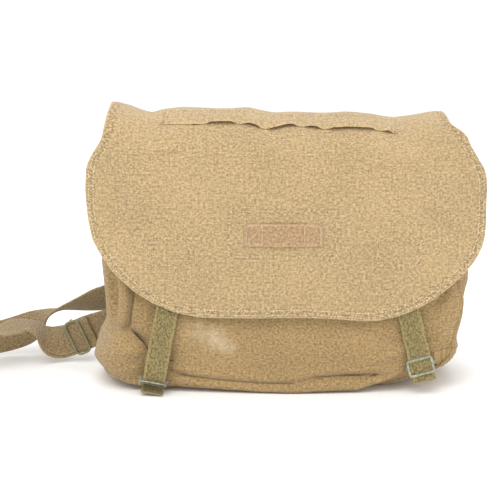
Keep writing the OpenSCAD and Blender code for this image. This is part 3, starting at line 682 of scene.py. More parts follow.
# ---------------------------------------------------------------- shader nodes
class Tree:
    """Adds nodes to a node tree and wires them."""

    def __init__(self, tree):
        self.tree = tree

    def add(self, kind, inputs=None, **settings):
        """New node; each input is a socket to link or a value to set."""
        made = self.tree.nodes.new(kind)
        for key, value in settings.items():
            setattr(made, key, value)
        for key, value in (inputs or {}).items():
            socket = made.inputs[key]
            if isinstance(value, bpy.types.NodeSocket):
                self.tree.links.new(value, socket)
            else:
                socket.default_value = value
        return made

    def math(self, operation, a, b=0.0, c=0.0):
        """Math node's result."""
        return self.add("ShaderNodeMath", {0: a, 1: b, 2: c}, operation=operation).outputs[0]

    def link(self, source, target):
        """Wires two sockets."""
        self.tree.links.new(source, target)

    def times(self, a, b):
        """Product."""
        return self.math("MULTIPLY", a, b)

    def shift(self, tone, value, amount):
        """Tone moved by how far a value is from one half, times an amount."""
        return self.math("MULTIPLY_ADD", self.math("SUBTRACT", value, 0.5), amount, tone)

    def wave(self, value, period):
        """Sine wave between 0 and 1 over a value."""
        turn = self.math("SINE", self.times(value, 2 * math.pi / period))
        return self.math("MULTIPLY_ADD", turn, 0.5, 0.5)

    def vector(self, operation, a, b=(0, 0, 0), output=0):
        """Vector math node's result."""
        return self.add("ShaderNodeVectorMath", {0: a, 1: b}, operation=operation).outputs[output]

    def moved(self, vector, scale, reach):
        """A vector pushed sideways a little by noise."""
        noise = self.add("ShaderNodeTexNoise", {"Vector": vector, "Scale": scale, "Detail": 1.0})
        wobble = self.vector("MULTIPLY", noise.outputs[1], (reach, reach, 0))
        return self.vector("ADD", vector, wobble)

    def clamp(self, value):
        """Value kept within 0 and 1."""
        return self.add("ShaderNodeClamp", {0: value}).outputs[0]

    def blend(self, factor, a, b):
        """Colour mix's result."""
        return self.add("ShaderNodeMix", {0: factor, 6: a, 7: b}, data_type="RGBA").outputs[2]

    def ramp(self, value, low, high, to_low=0.0, to_high=1.0):
        """Value carried smoothly from low..high to to_low..to_high."""
        made = self.add("ShaderNodeMapRange", {0: value, 1: low, 2: high, 3: to_low, 4: to_high},
                        interpolation_type="SMOOTHSTEP")
        return made.outputs[0]

    def noise(self, vector, scale, detail=2.0, stretch=None, rough=0.55):
        """Noise over a vector, which may be stretched first."""
        if stretch is not None:
            vector = self.vector("MULTIPLY", vector, stretch)
        made = self.add("ShaderNodeTexNoise", {"Vector": vector, "Scale": scale, "Detail": detail,
                                               "Roughness": rough})
        return made.outputs[0]


def group(name, inputs, outputs):
    """Empty node group with these named sockets; gives its tree, its inputs and its output node."""
    made = bpy.data.node_groups.new(name, "ShaderNodeTree")
    for label, kind, value in inputs:
        socket = made.interface.new_socket(name=label, in_out="INPUT", socket_type=kind)
        if value is not None:
            socket.default_value = value
    for label, kind in outputs:
        made.interface.new_socket(name=label, in_out="OUTPUT", socket_type=kind)
    tree = Tree(made)
    return tree, tree.add("NodeGroupInput").outputs, tree.add("NodeGroupOutput")


def weave_group():
    """Plain weave of uneven yarn: over-and-under threads, slubs both ways, flecks, slow shade changes,
    painted shade along seams.
    """
    name = "plain_weave"
    if name in bpy.data.node_groups:
        return bpy.data.node_groups[name]
    colour = "NodeSocketColor"
    number = "NodeSocketFloat"
    tree, given, out = group(
        name,
        [("Vector", "NodeSocketVector", None), ("Light", colour, (0.6, 0.45, 0.25, 1)),
         ("Dark", colour, (0.35, 0.25, 0.12, 1)), ("Fleck", colour, (0.12, 0.08, 0.04, 1)),
         ("Pitch", number, 0.0011), ("Slub", number, 1.0), ("Flecks", number, 0.5), ("Wear and Highlight", number, 0.0),
         ("Shade", number, 0.5), ("Seam", number, 0.0)],
        [("Color", colour), ("Height", number), ("Roughness", number)])
    vector = given["Vector"]
    moved = tree.moved(vector, 160.0, 0.0009)
    split = tree.add("ShaderNodeSeparateXYZ", {0: moved}).outputs
    turns = (tree.times(tree.math("DIVIDE", split[k], given["Pitch"]), math.pi) for k in (0, 1))
    turn_u, turn_v = (tree.math("SINE", turn) for turn in turns)
    over = tree.ramp(tree.times(turn_u, turn_v), -0.3, 0.3)
    across, down = tree.math("ABSOLUTE", turn_u), tree.math("ABSOLUTE", turn_v)
    woven = tree.add("ShaderNodeMix", {0: over, 2: across, 3: down}).outputs[0]
    slub_u = tree.noise(moved, 1.0, 2.0, (150.0, 900.0, 1.0))
    slub_v = tree.noise(moved, 1.0, 2.0, (900.0, 150.0, 1.0))
    yarn = tree.add("ShaderNodeMix", {0: over, 2: slub_u, 3: slub_v}).outputs[0]
    long_u = tree.noise(moved, 1.0, 1.0, (26.0, 760.0, 1.0))
    long_v = tree.noise(moved, 1.0, 1.0, (760.0, 26.0, 1.0))
    grain = tree.noise(moved, 620.0, 2.0, None, 0.7)
    cloud = tree.noise(vector, 11.0, 3.0)
    speck = tree.noise(moved, 1.0, 3.0, (330.0, 390.0, 1.0), 0.65)
    tone = tree.math("MULTIPLY_ADD", tree.math("SUBTRACT", woven, 0.6), 0.35, 0.5)
    tone = tree.shift(tone, yarn, tree.times(given["Slub"], 1.3))
    tone = tree.shift(tone, long_u, tree.times(given["Slub"], 0.3))
    tone = tree.shift(tone, long_v, tree.times(given["Slub"], 0.3))
    tone = tree.shift(tone, grain, 0.9)
    tone = tree.shift(tone, speck, 2.9)
    # Painted shade of puckered seams and hem: mottled darkening, with a few lighter specks, where the seam
    # value is high.
    tone = tree.math("ADD", tone, tree.times(tree.ramp(speck, 0.42, 0.58, -0.42, 0.12), given["Seam"]))
    tone = tree.shift(tone, cloud, given["Shade"])
    # Lighter where worn; on the label's rims this is also painted highlight.
    tone = tree.clamp(tree.math("MULTIPLY_ADD", given["Wear and Highlight"], 0.28, tone))
    base = tree.blend(tone, given["Dark"], given["Light"])
    spots = tree.ramp(tree.noise(moved, 1.0, 1.0, (330.0, 520.0, 1.0)), 0.665, 0.74)
    tree.link(tree.blend(tree.times(spots, given["Flecks"]), base, given["Fleck"]), out.inputs["Color"])
    height = tree.math("MULTIPLY_ADD", grain, 0.35, tree.times(woven, 0.7))
    tree.link(tree.math("MULTIPLY_ADD", yarn, 0.5, height), out.inputs["Height"])
    tree.link(tree.ramp(tone, 0.0, 1.0, 0.95, 0.84), out.inputs["Roughness"])
    return tree.tree


def twill_group():
    """Herringbone webbing: slanted yarns that change direction in bands across the width, with fuzz."""
    name = "herringbone_webbing"
    if name in bpy.data.node_groups:
        return bpy.data.node_groups[name]
    colour = "NodeSocketColor"
    number = "NodeSocketFloat"
    tree, given, out = group(
        name,
        [("Vector", "NodeSocketVector", None), ("Light", colour, (0.4, 0.36, 0.2, 1)),
         ("Dark", colour, (0.2, 0.18, 0.08, 1)), ("Wear and Highlight", number, 0.0)],
        [("Color", colour), ("Height", number), ("Roughness", number)])
    vector = given["Vector"]
    moved = tree.moved(vector, 220.0, 0.001)
    split = tree.add("ShaderNodeSeparateXYZ", {0: moved}).outputs
    band = tree.math("PINGPONG", tree.math("ADD", split[0], 1.0), 0.0062)
    yarn = tree.wave(tree.math("ADD", band, split[1]), 0.0022)
    cross = tree.wave(split[0], 0.0011)
    fuzz = tree.noise(moved, 700.0, 3.0, None, 0.75)
    flick = tree.noise(moved, 1.0, 1.0, (420.0, 300.0, 1.0))
    cloud = tree.noise(vector, 26.0, 2.0)
    tone = tree.math("MULTIPLY_ADD", yarn, 0.34, 0.26)
    tone = tree.math("MULTIPLY_ADD", cross, 0.12, tone)
    tone = tree.shift(tree.shift(tree.shift(tone, fuzz, 2.0), flick, 2.0), cloud, 0.5)
    tone = tree.clamp(tree.math("MULTIPLY_ADD", given["Wear and Highlight"], 0.3, tone))
    tree.link(tree.blend(tone, given["Dark"], given["Light"]), out.inputs["Color"])
    tree.link(tree.math("MULTIPLY_ADD", fuzz, 0.5, tree.times(yarn, 0.8)), out.inputs["Height"])
    tree.link(tree.ramp(tone, 0.0, 1.0, 0.96, 0.86), out.inputs["Roughness"])
    return tree.tree


def patch_group():
    """Soft-edged worn patch on a cloth: 1 inside a radius around a centre, broken up by noise."""
    name = "worn_patch"
    if name in bpy.data.node_groups:
        return bpy.data.node_groups[name]
    tree, given, out = group(
        name,
        [("Vector", "NodeSocketVector", None), ("Centre", "NodeSocketVector", (0, 0, 0)),
         ("Radius", "NodeSocketFloat", 0.02), ("Broken", "NodeSocketFloat", 0.6)],
        [("Mask", "NodeSocketFloat")])
    far = tree.vector("LENGTH", tree.vector("SUBTRACT", given["Vector"], given["Centre"]), output=1)
    inside = tree.ramp(tree.math("DIVIDE", far, given["Radius"]), 1.1, 0.1)
    noise = tree.noise(given["Vector"], 120.0, 3.0, None, 0.7)
    broken = tree.clamp(tree.shift(0.5, noise, tree.times(given["Broken"], 3.0)))
    tree.link(tree.times(inside, broken), out.inputs["Mask"])
    return tree.tree


def metal_group():
    """Old paint on metal: rubbed lighter in noisy blotches, dull grime and fine pitting."""
    name = "rubbed_paint"
    if name in bpy.data.node_groups:
        return bpy.data.node_groups[name]
    colour = "NodeSocketColor"
    number = "NodeSocketFloat"
    tree, given, out = group(
        name,
        [("Vector", "NodeSocketVector", None), ("Paint", colour, (0.3, 0.3, 0.22, 1)),
         ("Bare", colour, (0.55, 0.53, 0.42, 1)), ("Grime", colour, (0.1, 0.09, 0.05, 1))],
        [("Color", colour), ("Height", number), ("Roughness", number), ("Metallic", number)])
    blotch = tree.noise(given["Vector"], 260.0, 3.0, None, 0.65)
    fine = tree.noise(given["Vector"], 1500.0, 2.0)
    rubbed = tree.ramp(tree.math("MULTIPLY_ADD", fine, 0.3, blotch), 0.62, 0.78)
    grimy = tree.ramp(tree.noise(given["Vector"], 420.0, 3.0), 0.56, 0.7)
    coat = tree.blend(tree.times(rubbed, 0.75), given["Paint"], given["Bare"])
    tree.link(tree.blend(tree.times(grimy, 0.6), coat, given["Grime"]), out.inputs["Color"])
    tree.link(tree.math("MULTIPLY_ADD", blotch, 0.6, tree.times(fine, 0.4)), out.inputs["Height"])
    tree.link(tree.ramp(rubbed, 0.0, 1.0, 0.62, 0.38), out.inputs["Roughness"])
    tree.link(tree.times(rubbed, 0.7), out.inputs["Metallic"])
    return tree.tree


def start_material(name):
    """Empty material with its shader; gives the material, its tree helper and the Principled shader."""
    made = bpy.data.materials.new(name)
    made.use_nodes = True
    tree = Tree(made.node_tree)
    return made, tree, made.node_tree.nodes["Principled BSDF"]


def finish_cloth(tree, shader, colour, height, rough, depth, strength):
    """Wires a cloth's colour, roughness and raised weave into its shader."""
    bump = tree.add("ShaderNodeBump", {"Height": height, "Distance": depth, "Strength": strength})
    tree.link(colour, shader.inputs["Base Color"])
    tree.link(rough, shader.inputs["Roughness"])
    tree.link(bump.outputs[0], shader.inputs["Normal"])
    shader.inputs["Sheen Weight"].default_value = 0.18
    shader.inputs["Sheen Roughness"].default_value = 0.6
    shader.inputs["Specular IOR Level"].default_value = 0.15


def shade(colour, factor):
    """A colour made lighter or darker, with full alpha."""
    return tuple(min(1.0, c * factor) for c in colour[:3]) + (1.0,)


def canvas_material(name, colour, slub=1.0, flecks=0.5, shade_change=0.5, contrast=1.0, patches=()):
    """Coarse linen canvas on the cloth's own UV, with lighter worn edges (on the label also painted
    highlight of the folded edges) and optional worn patches.
    """
    if name in bpy.data.materials:
        return bpy.data.materials[name]
    made, tree, shader = start_material(name)
    sizes = bpy.context.scene.mail_bag_sizes
    vector = tree.add("ShaderNodeUVMap", uv_map=CLOTH_UV).outputs[0]
    worn = tree.add("ShaderNodeAttribute", attribute_name=WEAR_AND_HIGHLIGHT).outputs["Fac"]
    weave = tree.add("ShaderNodeGroup", node_tree=weave_group())
    tree.link(vector, weave.inputs["Vector"])
    # Painted seam shade, stored per point.
    seam = tree.add("ShaderNodeAttribute", attribute_name=SEAM_SHADE).outputs["Fac"]
    tree.link(worn, weave.inputs["Wear and Highlight"])
    tree.link(seam, weave.inputs["Seam"])
    weave.inputs["Light"].default_value = shade(colour, 1 + 0.34 * contrast)
    weave.inputs["Dark"].default_value = shade(colour, 1 - 0.42 * contrast)
    weave.inputs["Fleck"].default_value = shade(colour, 0.3)
    weave.inputs["Pitch"].default_value = sizes.thread_pitch
    weave.inputs["Slub"].default_value = slub
    weave.inputs["Flecks"].default_value = flecks
    weave.inputs["Shade"].default_value = shade_change
    mixed = weave.outputs["Color"]
    for centre, radius, broken, amount, tint in patches:
        spot = tree.add("ShaderNodeGroup", node_tree=patch_group())
        tree.link(vector, spot.inputs["Vector"])
        spot.inputs["Centre"].default_value = centre
        spot.inputs["Radius"].default_value = radius
        spot.inputs["Broken"].default_value = broken
        mixed = tree.blend(tree.times(spot.outputs[0], amount), mixed, tint)
    finish_cloth(tree, shader, mixed, weave.outputs["Height"], weave.outputs["Roughness"], 0.0006, 0.55)
    return made


def webbing_material():
    """Olive herringbone webbing on its own UV."""
    name = "olive_webbing"
    if name in bpy.data.materials:
        return bpy.data.materials[name]
    made, tree, shader = start_material(name)
    colour = bpy.context.scene.mail_bag_colours.webbing
    vector = tree.add("ShaderNodeUVMap", uv_map=CLOTH_UV).outputs[0]
    worn = tree.add("ShaderNodeAttribute", attribute_name=WEAR_AND_HIGHLIGHT).outputs["Fac"]
    twill = tree.add("ShaderNodeGroup", node_tree=twill_group())
    tree.link(vector, twill.inputs["Vector"])
    tree.link(worn, twill.inputs["Wear and Highlight"])
    twill.inputs["Light"].default_value = shade(colour, 1.7)
    twill.inputs["Dark"].default_value = shade(colour, 0.45)
    made_of = [twill.outputs[label] for label in ("Color", "Height", "Roughness")]
    finish_cloth(tree, shader, *made_of, 0.0008, 0.8)
    return made


def thread_material():
    """Pale linen sewing thread with slight shade changes from stitch to stitch."""
    name = "sewing_thread"
    if name in bpy.data.materials:
        return bpy.data.materials[name]
    made, tree, shader = start_material(name)
    colour = bpy.context.scene.mail_bag_colours.thread
    place = tree.add("ShaderNodeTexCoord").outputs["Object"]
    patchy = tree.noise(place, 330.0, 2.0)
    ply = tree.noise(place, 2600.0, 1.0)
    tone = tree.ramp(tree.math("MULTIPLY_ADD", ply, 0.35, patchy), 0.45, 0.85)
    finish_cloth(tree, shader, tree.blend(tone, shade(colour, 0.55), shade(colour, 1.15)), ply,
                 tree.ramp(tone, 0, 1, 0.9, 0.8), 0.0002, 0.5)
    return made


def metal_material(name, colour):
    """Painted metal on object coordinates, rubbed and grimy."""
    if name in bpy.data.materials:
        return bpy.data.materials[name]
    made, tree, shader = start_material(name)
    place = tree.add("ShaderNodeTexCoord").outputs["Object"]
    coat = tree.add("ShaderNodeGroup", node_tree=metal_group())
    tree.link(place, coat.inputs["Vector"])
    coat.inputs["Paint"].default_value = shade(colour, 1.0)
    coat.inputs["Bare"].default_value = shade(colour, 1.9)
    coat.inputs["Grime"].default_value = shade(colour, 0.35)
    raised = coat.outputs["Height"]
    bump = tree.add("ShaderNodeBump", {"Height": raised, "Distance": 0.0002, "Strength": 0.4})
    for label in ("Color", "Roughness", "Metallic"):
        target = "Base Color" if label == "Color" else label
        tree.link(coat.outputs[label], shader.inputs[target])
    tree.link(bump.outputs[0], shader.inputs["Normal"])
    return made


def dress(piece, material):
    """Gives a piece its material."""
    piece.data.materials.clear()
    piece.data.materials.append(material)
    return piece


def flap_canvas():
    """The flap's light canvas, with a tiny rust mark under the label."""
    colours = bpy.context.scene.mail_bag_colours
    rust = ((0.0175, 0.165, 0), 0.0042, 0.3, 0.75, (0.62, 0.32, 0.09, 1))
    return canvas_material("flap_canvas", colours.flap_canvas, patches=[rust])


def body_canvas():
    """The body's browner canvas."""
    colours = bpy.context.scene.mail_bag_colours
    return canvas_material("body_canvas", colours.body_canvas, slub=0.8, flecks=0.35)


def strap_canvas():
    """The shoulder strap's darker canvas."""
    colours = bpy.context.scene.mail_bag_colours
    return canvas_material("strap_canvas", colours.strap_canvas, slub=0.8, flecks=0.3)


# ---------------------------------------------------------------- properties
class MailBagSizes(PropertyGroup):
    """Sizes of the cloth, webbing and thread."""

    canvas_thickness: FloatProperty(
        name="Canvas Thickness", description="Thickness of the flap's cloth", default=0.002,
        min=0.0012, max=0.003, unit="LENGTH")
    wall_thickness: FloatProperty(
        name="Wall Thickness", description="Thickness of the bag's doubled walls", default=0.002,
        min=0.0012, max=0.003, unit="LENGTH")
    thread_pitch: FloatProperty(
        name="Thread Pitch", description="Distance between neighbouring yarns of the canvas",
        default=0.00125, min=0.0005, max=0.003, unit="LENGTH")
    grid_step: FloatProperty(
        name="Grid Step", description="Distance between mesh points on the canvas", default=0.0024,
        min=0.0015, max=0.006, unit="LENGTH")
    webbing_width: FloatProperty(
        name="Webbing Width", description="Width of the closure webbing", default=0.025,
        min=0.02, max=0.03, unit="LENGTH")
    webbing_thickness: FloatProperty(
        name="Webbing Thickness", description="Thickness of the closure webbing", default=0.0014,
        min=0.001, max=0.0016, unit="LENGTH")
    strap_width: FloatProperty(
        name="Strap Width", description="Width of the shoulder strap", default=0.04,
        min=0.036, max=0.044, unit="LENGTH")
    strap_thickness: FloatProperty(
        name="Strap Thickness", description="Thickness of the shoulder strap", default=0.0024,
        min=0.0018, max=0.003, unit="LENGTH")


class MailBagColours(PropertyGroup):
    """Colours of the cloth, webbing, thread and metal."""

    flap_canvas: FloatVectorProperty(
        name="Flap Canvas", description="Sun-faded canvas of the flap", subtype="COLOR", size=3,
        default=(0.452, 0.325, 0.168), min=0, max=1)
    body_canvas: FloatVectorProperty(
        name="Body Canvas", description="Browner canvas of the bag's walls", subtype="COLOR", size=3,
        default=(0.36, 0.243, 0.108), min=0, max=1)
    label_canvas: FloatVectorProperty(
        name="Label Canvas", description="Pinker canvas of the label loop", subtype="COLOR", size=3,
        default=(0.42, 0.275, 0.15), min=0, max=1)
    strap_canvas: FloatVectorProperty(
        name="Strap Canvas", description="Darker canvas of the shoulder strap", subtype="COLOR", size=3,
        default=(0.275, 0.198, 0.1), min=0, max=1)
    webbing: FloatVectorProperty(
        name="Webbing", description="Olive webbing of the closures", subtype="COLOR", size=3,
        default=(0.235, 0.185, 0.075), min=0, max=1)
    thread: FloatVectorProperty(
        name="Thread", description="Pale sewing thread", subtype="COLOR", size=3,
        default=(0.7, 0.58, 0.38), min=0, max=1)
    buckle_paint: FloatVectorProperty(
        name="Buckle Paint", description="Grey-green paint of the buckles", subtype="COLOR", size=3,
        default=(0.27, 0.27, 0.2), min=0, max=1)
    wire_paint: FloatVectorProperty(
        name="Wire Paint", description="Dull finish of the strap adjuster's wire", subtype="COLOR", size=3,
        default=(0.2, 0.19, 0.11), min=0, max=1)


# ---------------------------------------------------------------- operators
class MAILBAG_OT_stage(Operator):
    """Camera, pale floor and soft lights"""

    bl_idname = "mailbag.stage"
    bl_label = "Stage"

    def execute(self, context):
        scene = context.scene
        scene.view_settings.view_transform = "Standard"
        camera = bpy.data.objects.new("camera", bpy.data.cameras.new("camera"))
        camera.data.lens = 85
        camera.data.sensor_width = 36
        camera.data.clip_end = 30
        drop = math.radians(12)
        distance, aim = 1.41, (-0.038, 0.009, 0.158)
        camera.location = (aim[0], aim[1] - distance * math.cos(drop), aim[2] + distance * math.sin(drop))
        camera.rotation_euler = (math.pi / 2 - drop, 0, 0)
        scene.collection.objects.link(camera)
        scene.camera = camera
        floor_mesh = bpy.data.meshes.new("floor")
        floor_mesh.from_pydata([(-9, -7, 0), (9, -7, 0), (9, 11, 0), (-9, 11, 0)], [], [(0, 1, 2, 3)])
        floor = bpy.data.objects.new("floor", floor_mesh)
        floor.location = (0, 0, -0.0006)
        scene.collection.objects.link(floor)
        paper, _, shader = start_material("pale_floor")
        shader.inputs["Base Color"].default_value = (0.97, 0.97, 0.965, 1)
        shader.inputs["Roughness"].default_value = 0.9
        shader.inputs["Specular IOR Level"].default_value = 0.1
        floor_mesh.materials.append(paper)
        lights = [("key", (-0.5, -1.3, 2.3), 1.6, 29.0), ("fill", (1.5, -1.6, 1.1), 1.6, 6.0),
                  ("rear", (0.2, 1.7, 1.9), 1.8, 12.0)]
        for name, place, size, power in lights:
            lamp = bpy.data.objects.new(name, bpy.data.lights.new(name, "AREA"))
            lamp.data.size = size
            lamp.data.energy = power
            lamp.location = place
            away = np.array([0, 0, 0.15]) - np.array(place)
            flat = math.hypot(away[0], away[1])
            heading = math.atan2(away[1], away[0])
            lamp.rotation_euler = (math.atan2(flat, -away[2]), 0, heading - math.pi / 2)
            scene.collection.objects.link(lamp)
        world = bpy.data.worlds.new("studio")
        scene.world = world
        world.use_nodes = True
        world.node_tree.nodes["Background"].inputs[0].default_value = (1, 1, 1, 1)
        world.node_tree.nodes["Background"].inputs[1].default_value = 1.04
        return {"FINISHED"}


def strap_frames(rows, steps):
    """Path and width direction of a strap: the lean from upright, then set square to the path."""
    curve = spline(rows, steps)
    path = curve[:, :3]
    along = unit(np.gradient(path, axis=0))
    lean = np.radians(curve[:, 3])[:, None]
    side = unit(np.cross(np.broadcast_to(UP, along.shape), along))
    wide = UP * np.cos(lean) + side * np.sin(lean)
    wide = unit(wide - along * (wide * along).sum(-1, keepdims=True))
    return path, along, wide


def strap_grid(path, along, wide, width, across, bow=0.5):
    """Grid of a strap: straight across, with edges bowed a little to the back."""
    face = np.cross(along, wide)
    u = np.linspace(-1, 1, across)
    run = np.concatenate([[0], np.cumsum(np.linalg.norm(np.diff(path, axis=0), axis=1))])
    wave = np.sin(run / 37.0)[:, None] * 0.5
    grid = (path[:, None] + wide[:, None] * (u * width / 2)[None, :, None]
            - face[:, None] * ((u[None] ** 2 * bow) + wave * u[None] * 0.6)[..., None])
    uv = np.stack(np.broadcast_arrays((u * width / 2)[None], run[:, None]), -1)
    worn = np.broadcast_to((np.abs(u) > 0.93) * 0.9, grid.shape[:2])
    return grid, uv, worn


class MAILBAG_OT_straps(Operator):
    """Long shoulder strap, short strap, and the wire adjuster between them"""

    bl_idname = "mailbag.straps"
    bl_label = "Shoulder Straps"

    def execute(self, context):
        sizes, colours = context.scene.mail_bag_sizes, context.scene.mail_bag_colours
        width, thick = sizes.strap_width / MM, sizes.strap_thickness / MM
        cloth = strap_canvas()
        pieces = {}
        for name, rows, node in (("strap_long", LONG_ROUTE, "shoulder_strap_long"),
                                 ("strap_short", SHORT_ROUTE, "shoulder_strap_short")):
            path, along, wide = strap_frames(rows, 9)
            grid, uv, worn = strap_grid(path, along, wide, width, 17)
            thickness = np.full(grid.shape[:2], thick)
            u = np.linspace(-1, 1, 17)
            thickness = thickness * (0.86 + 0.14 * (np.abs(u) > 0.62))
            piece = dress(sheet(name, grid, uv, thickness, worn), cloth)
            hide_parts(node)
            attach(piece, "bag")
            pieces[name] = (piece, path, along, wide)
        seams = []
        for name in pieces:
            piece, path, along, wide = pieces[name]
            face = np.cross(along, wide)
            for row in (-0.78, 0.78):
                for front in (1, -1):
                    line = path + wide * row * width / 2 - face * (0.5 * row * row)
                    marks = evenly(np.hstack([line, face * front, along]), 3.6)
                    seams.append(stitch_shapes(marks[:, :3] + marks[:, 3:6] * (thick / 2 + 0.02),
                                               unit(marks[:, 6:]), unit(marks[:, 3:6]), 2.4, 0.6, 0.45))
        stitches = dress(merge("stitches_strap", seams), thread_material())
        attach(stitches, "bag")
        wire = self.adjuster()
        dress(wire, metal_material("wire_paint", colours.wire_paint))
        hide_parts("adjuster_frame")
        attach(wire, "adjuster")
        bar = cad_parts["adjuster_bar"]
        dress(bar, metal_material("wire_paint", colours.wire_paint))
        piece, path, _, _ = pieces["strap_long"]
        return {"FINISHED"}

    @staticmethod
    def adjuster():
        """Rounded wire rectangle in front of the strap, with two legs back to the cross bar."""
        long, high, wire, corner = 47.0, 21.0, 1.5, 6.0
        turn = np.radians(np.arange(0, 360, 7.5) + 3.75)
        cx = np.sign(np.cos(turn)) * (high / 2 - wire - corner) + np.cos(turn) * corner
        cz = np.sign(np.sin(turn)) * (long / 2 - wire - corner) + np.sin(turn) * corner
        ring = evenly(np.stack([cx, 0 * cx - 3.2, cz], -1)[list(range(len(cx))) + [0]], 1.4)[:-1]
        parts = [tube(ring, wire, sides=14, closed=True)]
        for side in (-1, 1):
            leg = np.array([[0, y, side * (long / 2 - wire)] for y in np.linspace(-3.2, 5.8, 6)])
            parts.append(tube(leg, wire * 0.98, sides=14, face=np.array([1.0, 0, 0])))
        slope = math.radians(-ADJUSTER_SLOPE)
        placed = []
        for p, q, t in parts:
            x = p[:, 0] * math.cos(slope) + p[:, 2] * math.sin(slope)
            z = -p[:, 0] * math.sin(slope) + p[:, 2] * math.cos(slope)
            placed.append((np.stack([x, p[:, 1], z], -1) + np.array(ADJUSTER_AT), q, t))
        return merge("adjuster_wire", placed)


def grid_axes(rows, cols):
    """Two arrays of shares, across the columns and down the rows."""
    return np.meshgrid(np.linspace(0, 1, cols), np.linspace(0, 1, rows))


def counts(width, height):
    """Numbers of rows and columns for a cloth of this size at the chosen grid step."""
    step = bpy.context.scene.mail_bag_sizes.grid_step / MM
    return int(height / step) + 2, int(width / step) + 2


def rim_wear_and_highlight(rows, cols, width, height, reach=3.5):
    """Wear that is 1 at a grid's outer edge and fades out over reach; on the label it also stands in for
    painted highlight along the folded edges.
    """
    a, v = grid_axes(rows, cols)
    near = np.minimum(np.minimum(a, 1 - a) * width, np.minimum(v, 1 - v) * height)
    return 1 - ease(near, 0, reach)


class MAILBAG_OT_body(Operator):
    """Front, back, side and base panels of the bag"""

    bl_idname = "mailbag.body"
    bl_label = "Bag Body"

    def execute(self, context):
        thick = context.scene.mail_bag_sizes.wall_thickness / MM
        colours = context.scene.mail_bag_colours
        chalk = (0.78, 0.68, 0.52, 1)
        front_cloth = canvas_material(
            "front_canvas", colours.body_canvas, slub=0.8, flecks=0.35,
            patches=[((-0.079, 0.067, 0), 0.019, 0.7, 0.55, chalk),
                     ((-0.063, 0.056, 0), 0.013, 0.8, 0.4, chalk),
                     ((-0.1, 0.078, 0), 0.02, 0.9, 0.25, chalk)])
        pieces = []
        across = np.sort(np.concatenate([np.linspace(0, 1, 170), np.linspace(0, 0.03, 14)[1:]]))
        up = np.sort(np.concatenate([np.linspace(0, 1, 126), np.linspace(0, 0.12, 20)[1:-1]]))
        a, v = np.meshgrid(across, up)
        rows, cols = a.shape
        grid = front_at(a, v)
        uv = np.stack([grid[..., 0], grid[..., 2]], -1)
        worn = 0.7 * (1 - ease(np.minimum(a, 1 - a) * 380, 0, 3))
        pieces.append((sheet("front_wall", grid, uv, thick, worn), "front_panel", front_cloth))
        rows, cols = counts(300, 230)
        a, v = grid_axes(rows, cols)
        grid = back_at(a, v)
        grid[..., 1] += lumps(grid[..., 0], grid[..., 2], BACK_FOLDS)
        grid[..., 1] += ripples(grid[..., 0], grid[..., 2], 33, 90, 1.2) * ease(grid[..., 2], 10, 60)
        uv = np.stack([-grid[..., 0], grid[..., 2]], -1)
        pieces.append((sheet("back_wall", grid, uv, thick, 0.6 * rim_wear_and_highlight(rows, cols, 400, 300, 3)),
                       "back_panel", body_canvas()))
        for side, word in ((-1, "left"), (1, "right")):
            rows, cols = counts(140, 290)
            s, v = grid_axes(rows, cols)
            s = mix(0.006, 0.99, s)
            grid = gusset_at(side, s, v)
            uv = np.stack([s * SIDE_DEPTH, grid[..., 2]], -1)
            worn = 0.6 * rim_wear_and_highlight(rows, cols, SIDE_DEPTH, 290, 2)
            wall = sheet("side_wall_" + word, grid, uv, thick, worn, flip=side < 0)
            pieces.append((wall, "gusset_" + word, body_canvas()))
        pieces.append((self.base(thick), "bottom_panel", body_canvas()))
        for piece, node, cloth in pieces:
            dress(piece, cloth)
            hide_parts(node)
            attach(piece, "bag")
        return {"FINISHED"}

    @staticmethod
    def base(thick):
        """Base tray: rings from the rim to a centre point, two skins joined round the rim."""
        around, rings = 400, 34
        t = np.arange(around) * 4 / around
        w = np.concatenate([np.linspace(0, 0.3, 24), np.linspace(0.34, 0.97, rings - 24)])
        tt, ww = np.meshgrid(t, w)
        outer = base_at(tt, ww)
        normal = grid_normals(np.concatenate([outer[:, -1:], outer, outer[:, :1]], 1))[:, 1:-1]
        normal = normal * np.where((normal[..., 2:] > 0) & (np.abs(normal[..., 2:]) > 0.5), -1, 1)
        inner = outer - normal * thick
        flat_top = ease(ww, 0.1, 0.3)[..., None]
        inner = inner * (1 - flat_top) + (outer + np.array([0, 0, thick])) * flat_top
        centre = np.array([[0, 0, 1.0], [0, 0, 1.0 + thick]])
        count = around * rings
        points = np.concatenate([outer.reshape(-1, 3), inner.reshape(-1, 3), centre])
        i, k = np.meshgrid(np.arange(rings - 1), np.arange(around), indexing="ij")
        a, b = i * around + k, i * around + (k + 1) % around
        c, d = b + around, a + around
        quads = [np.stack([a, d, c, b], -1).reshape(-1, 4),
                 np.stack([a, b, c, d], -1).reshape(-1, 4) + count]
        k = np.arange(around)
        n = (k + 1) % around
        quads.append(np.stack([k, n, n + count, k + count], -1))
        last = (rings - 1) * around
        tris = [np.stack([last + n, last + k, np.full(around, 2 * count)], -1),
                np.stack([last + k + count, last + n + count, np.full(around, 2 * count + 1)], -1)]
        points[:, 2] -= 1.0
        worn = np.zeros(len(points))
        worn[:around] = 0.7
        return make_object("base_wall", points, np.concatenate(quads), np.concatenate(tris),
                           points[:, :2], worn)


class MAILBAG_OT_flap(Operator):
    """The flap: its crown over the mouth and its front cover"""

    bl_idname = "mailbag.flap"
    bl_label = "Flap"

    def execute(self, context):
        thick = context.scene.mail_bag_sizes.canvas_thickness / MM
        cloth = flap_canvas()
        crown, cover = flap_pieces(thick)
        dress(crown, cloth)
        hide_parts("flap_top")
        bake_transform(crown)
        dress(cover, cloth)
        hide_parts("flap_cover")
        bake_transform(cover)
        return {"FINISHED"}


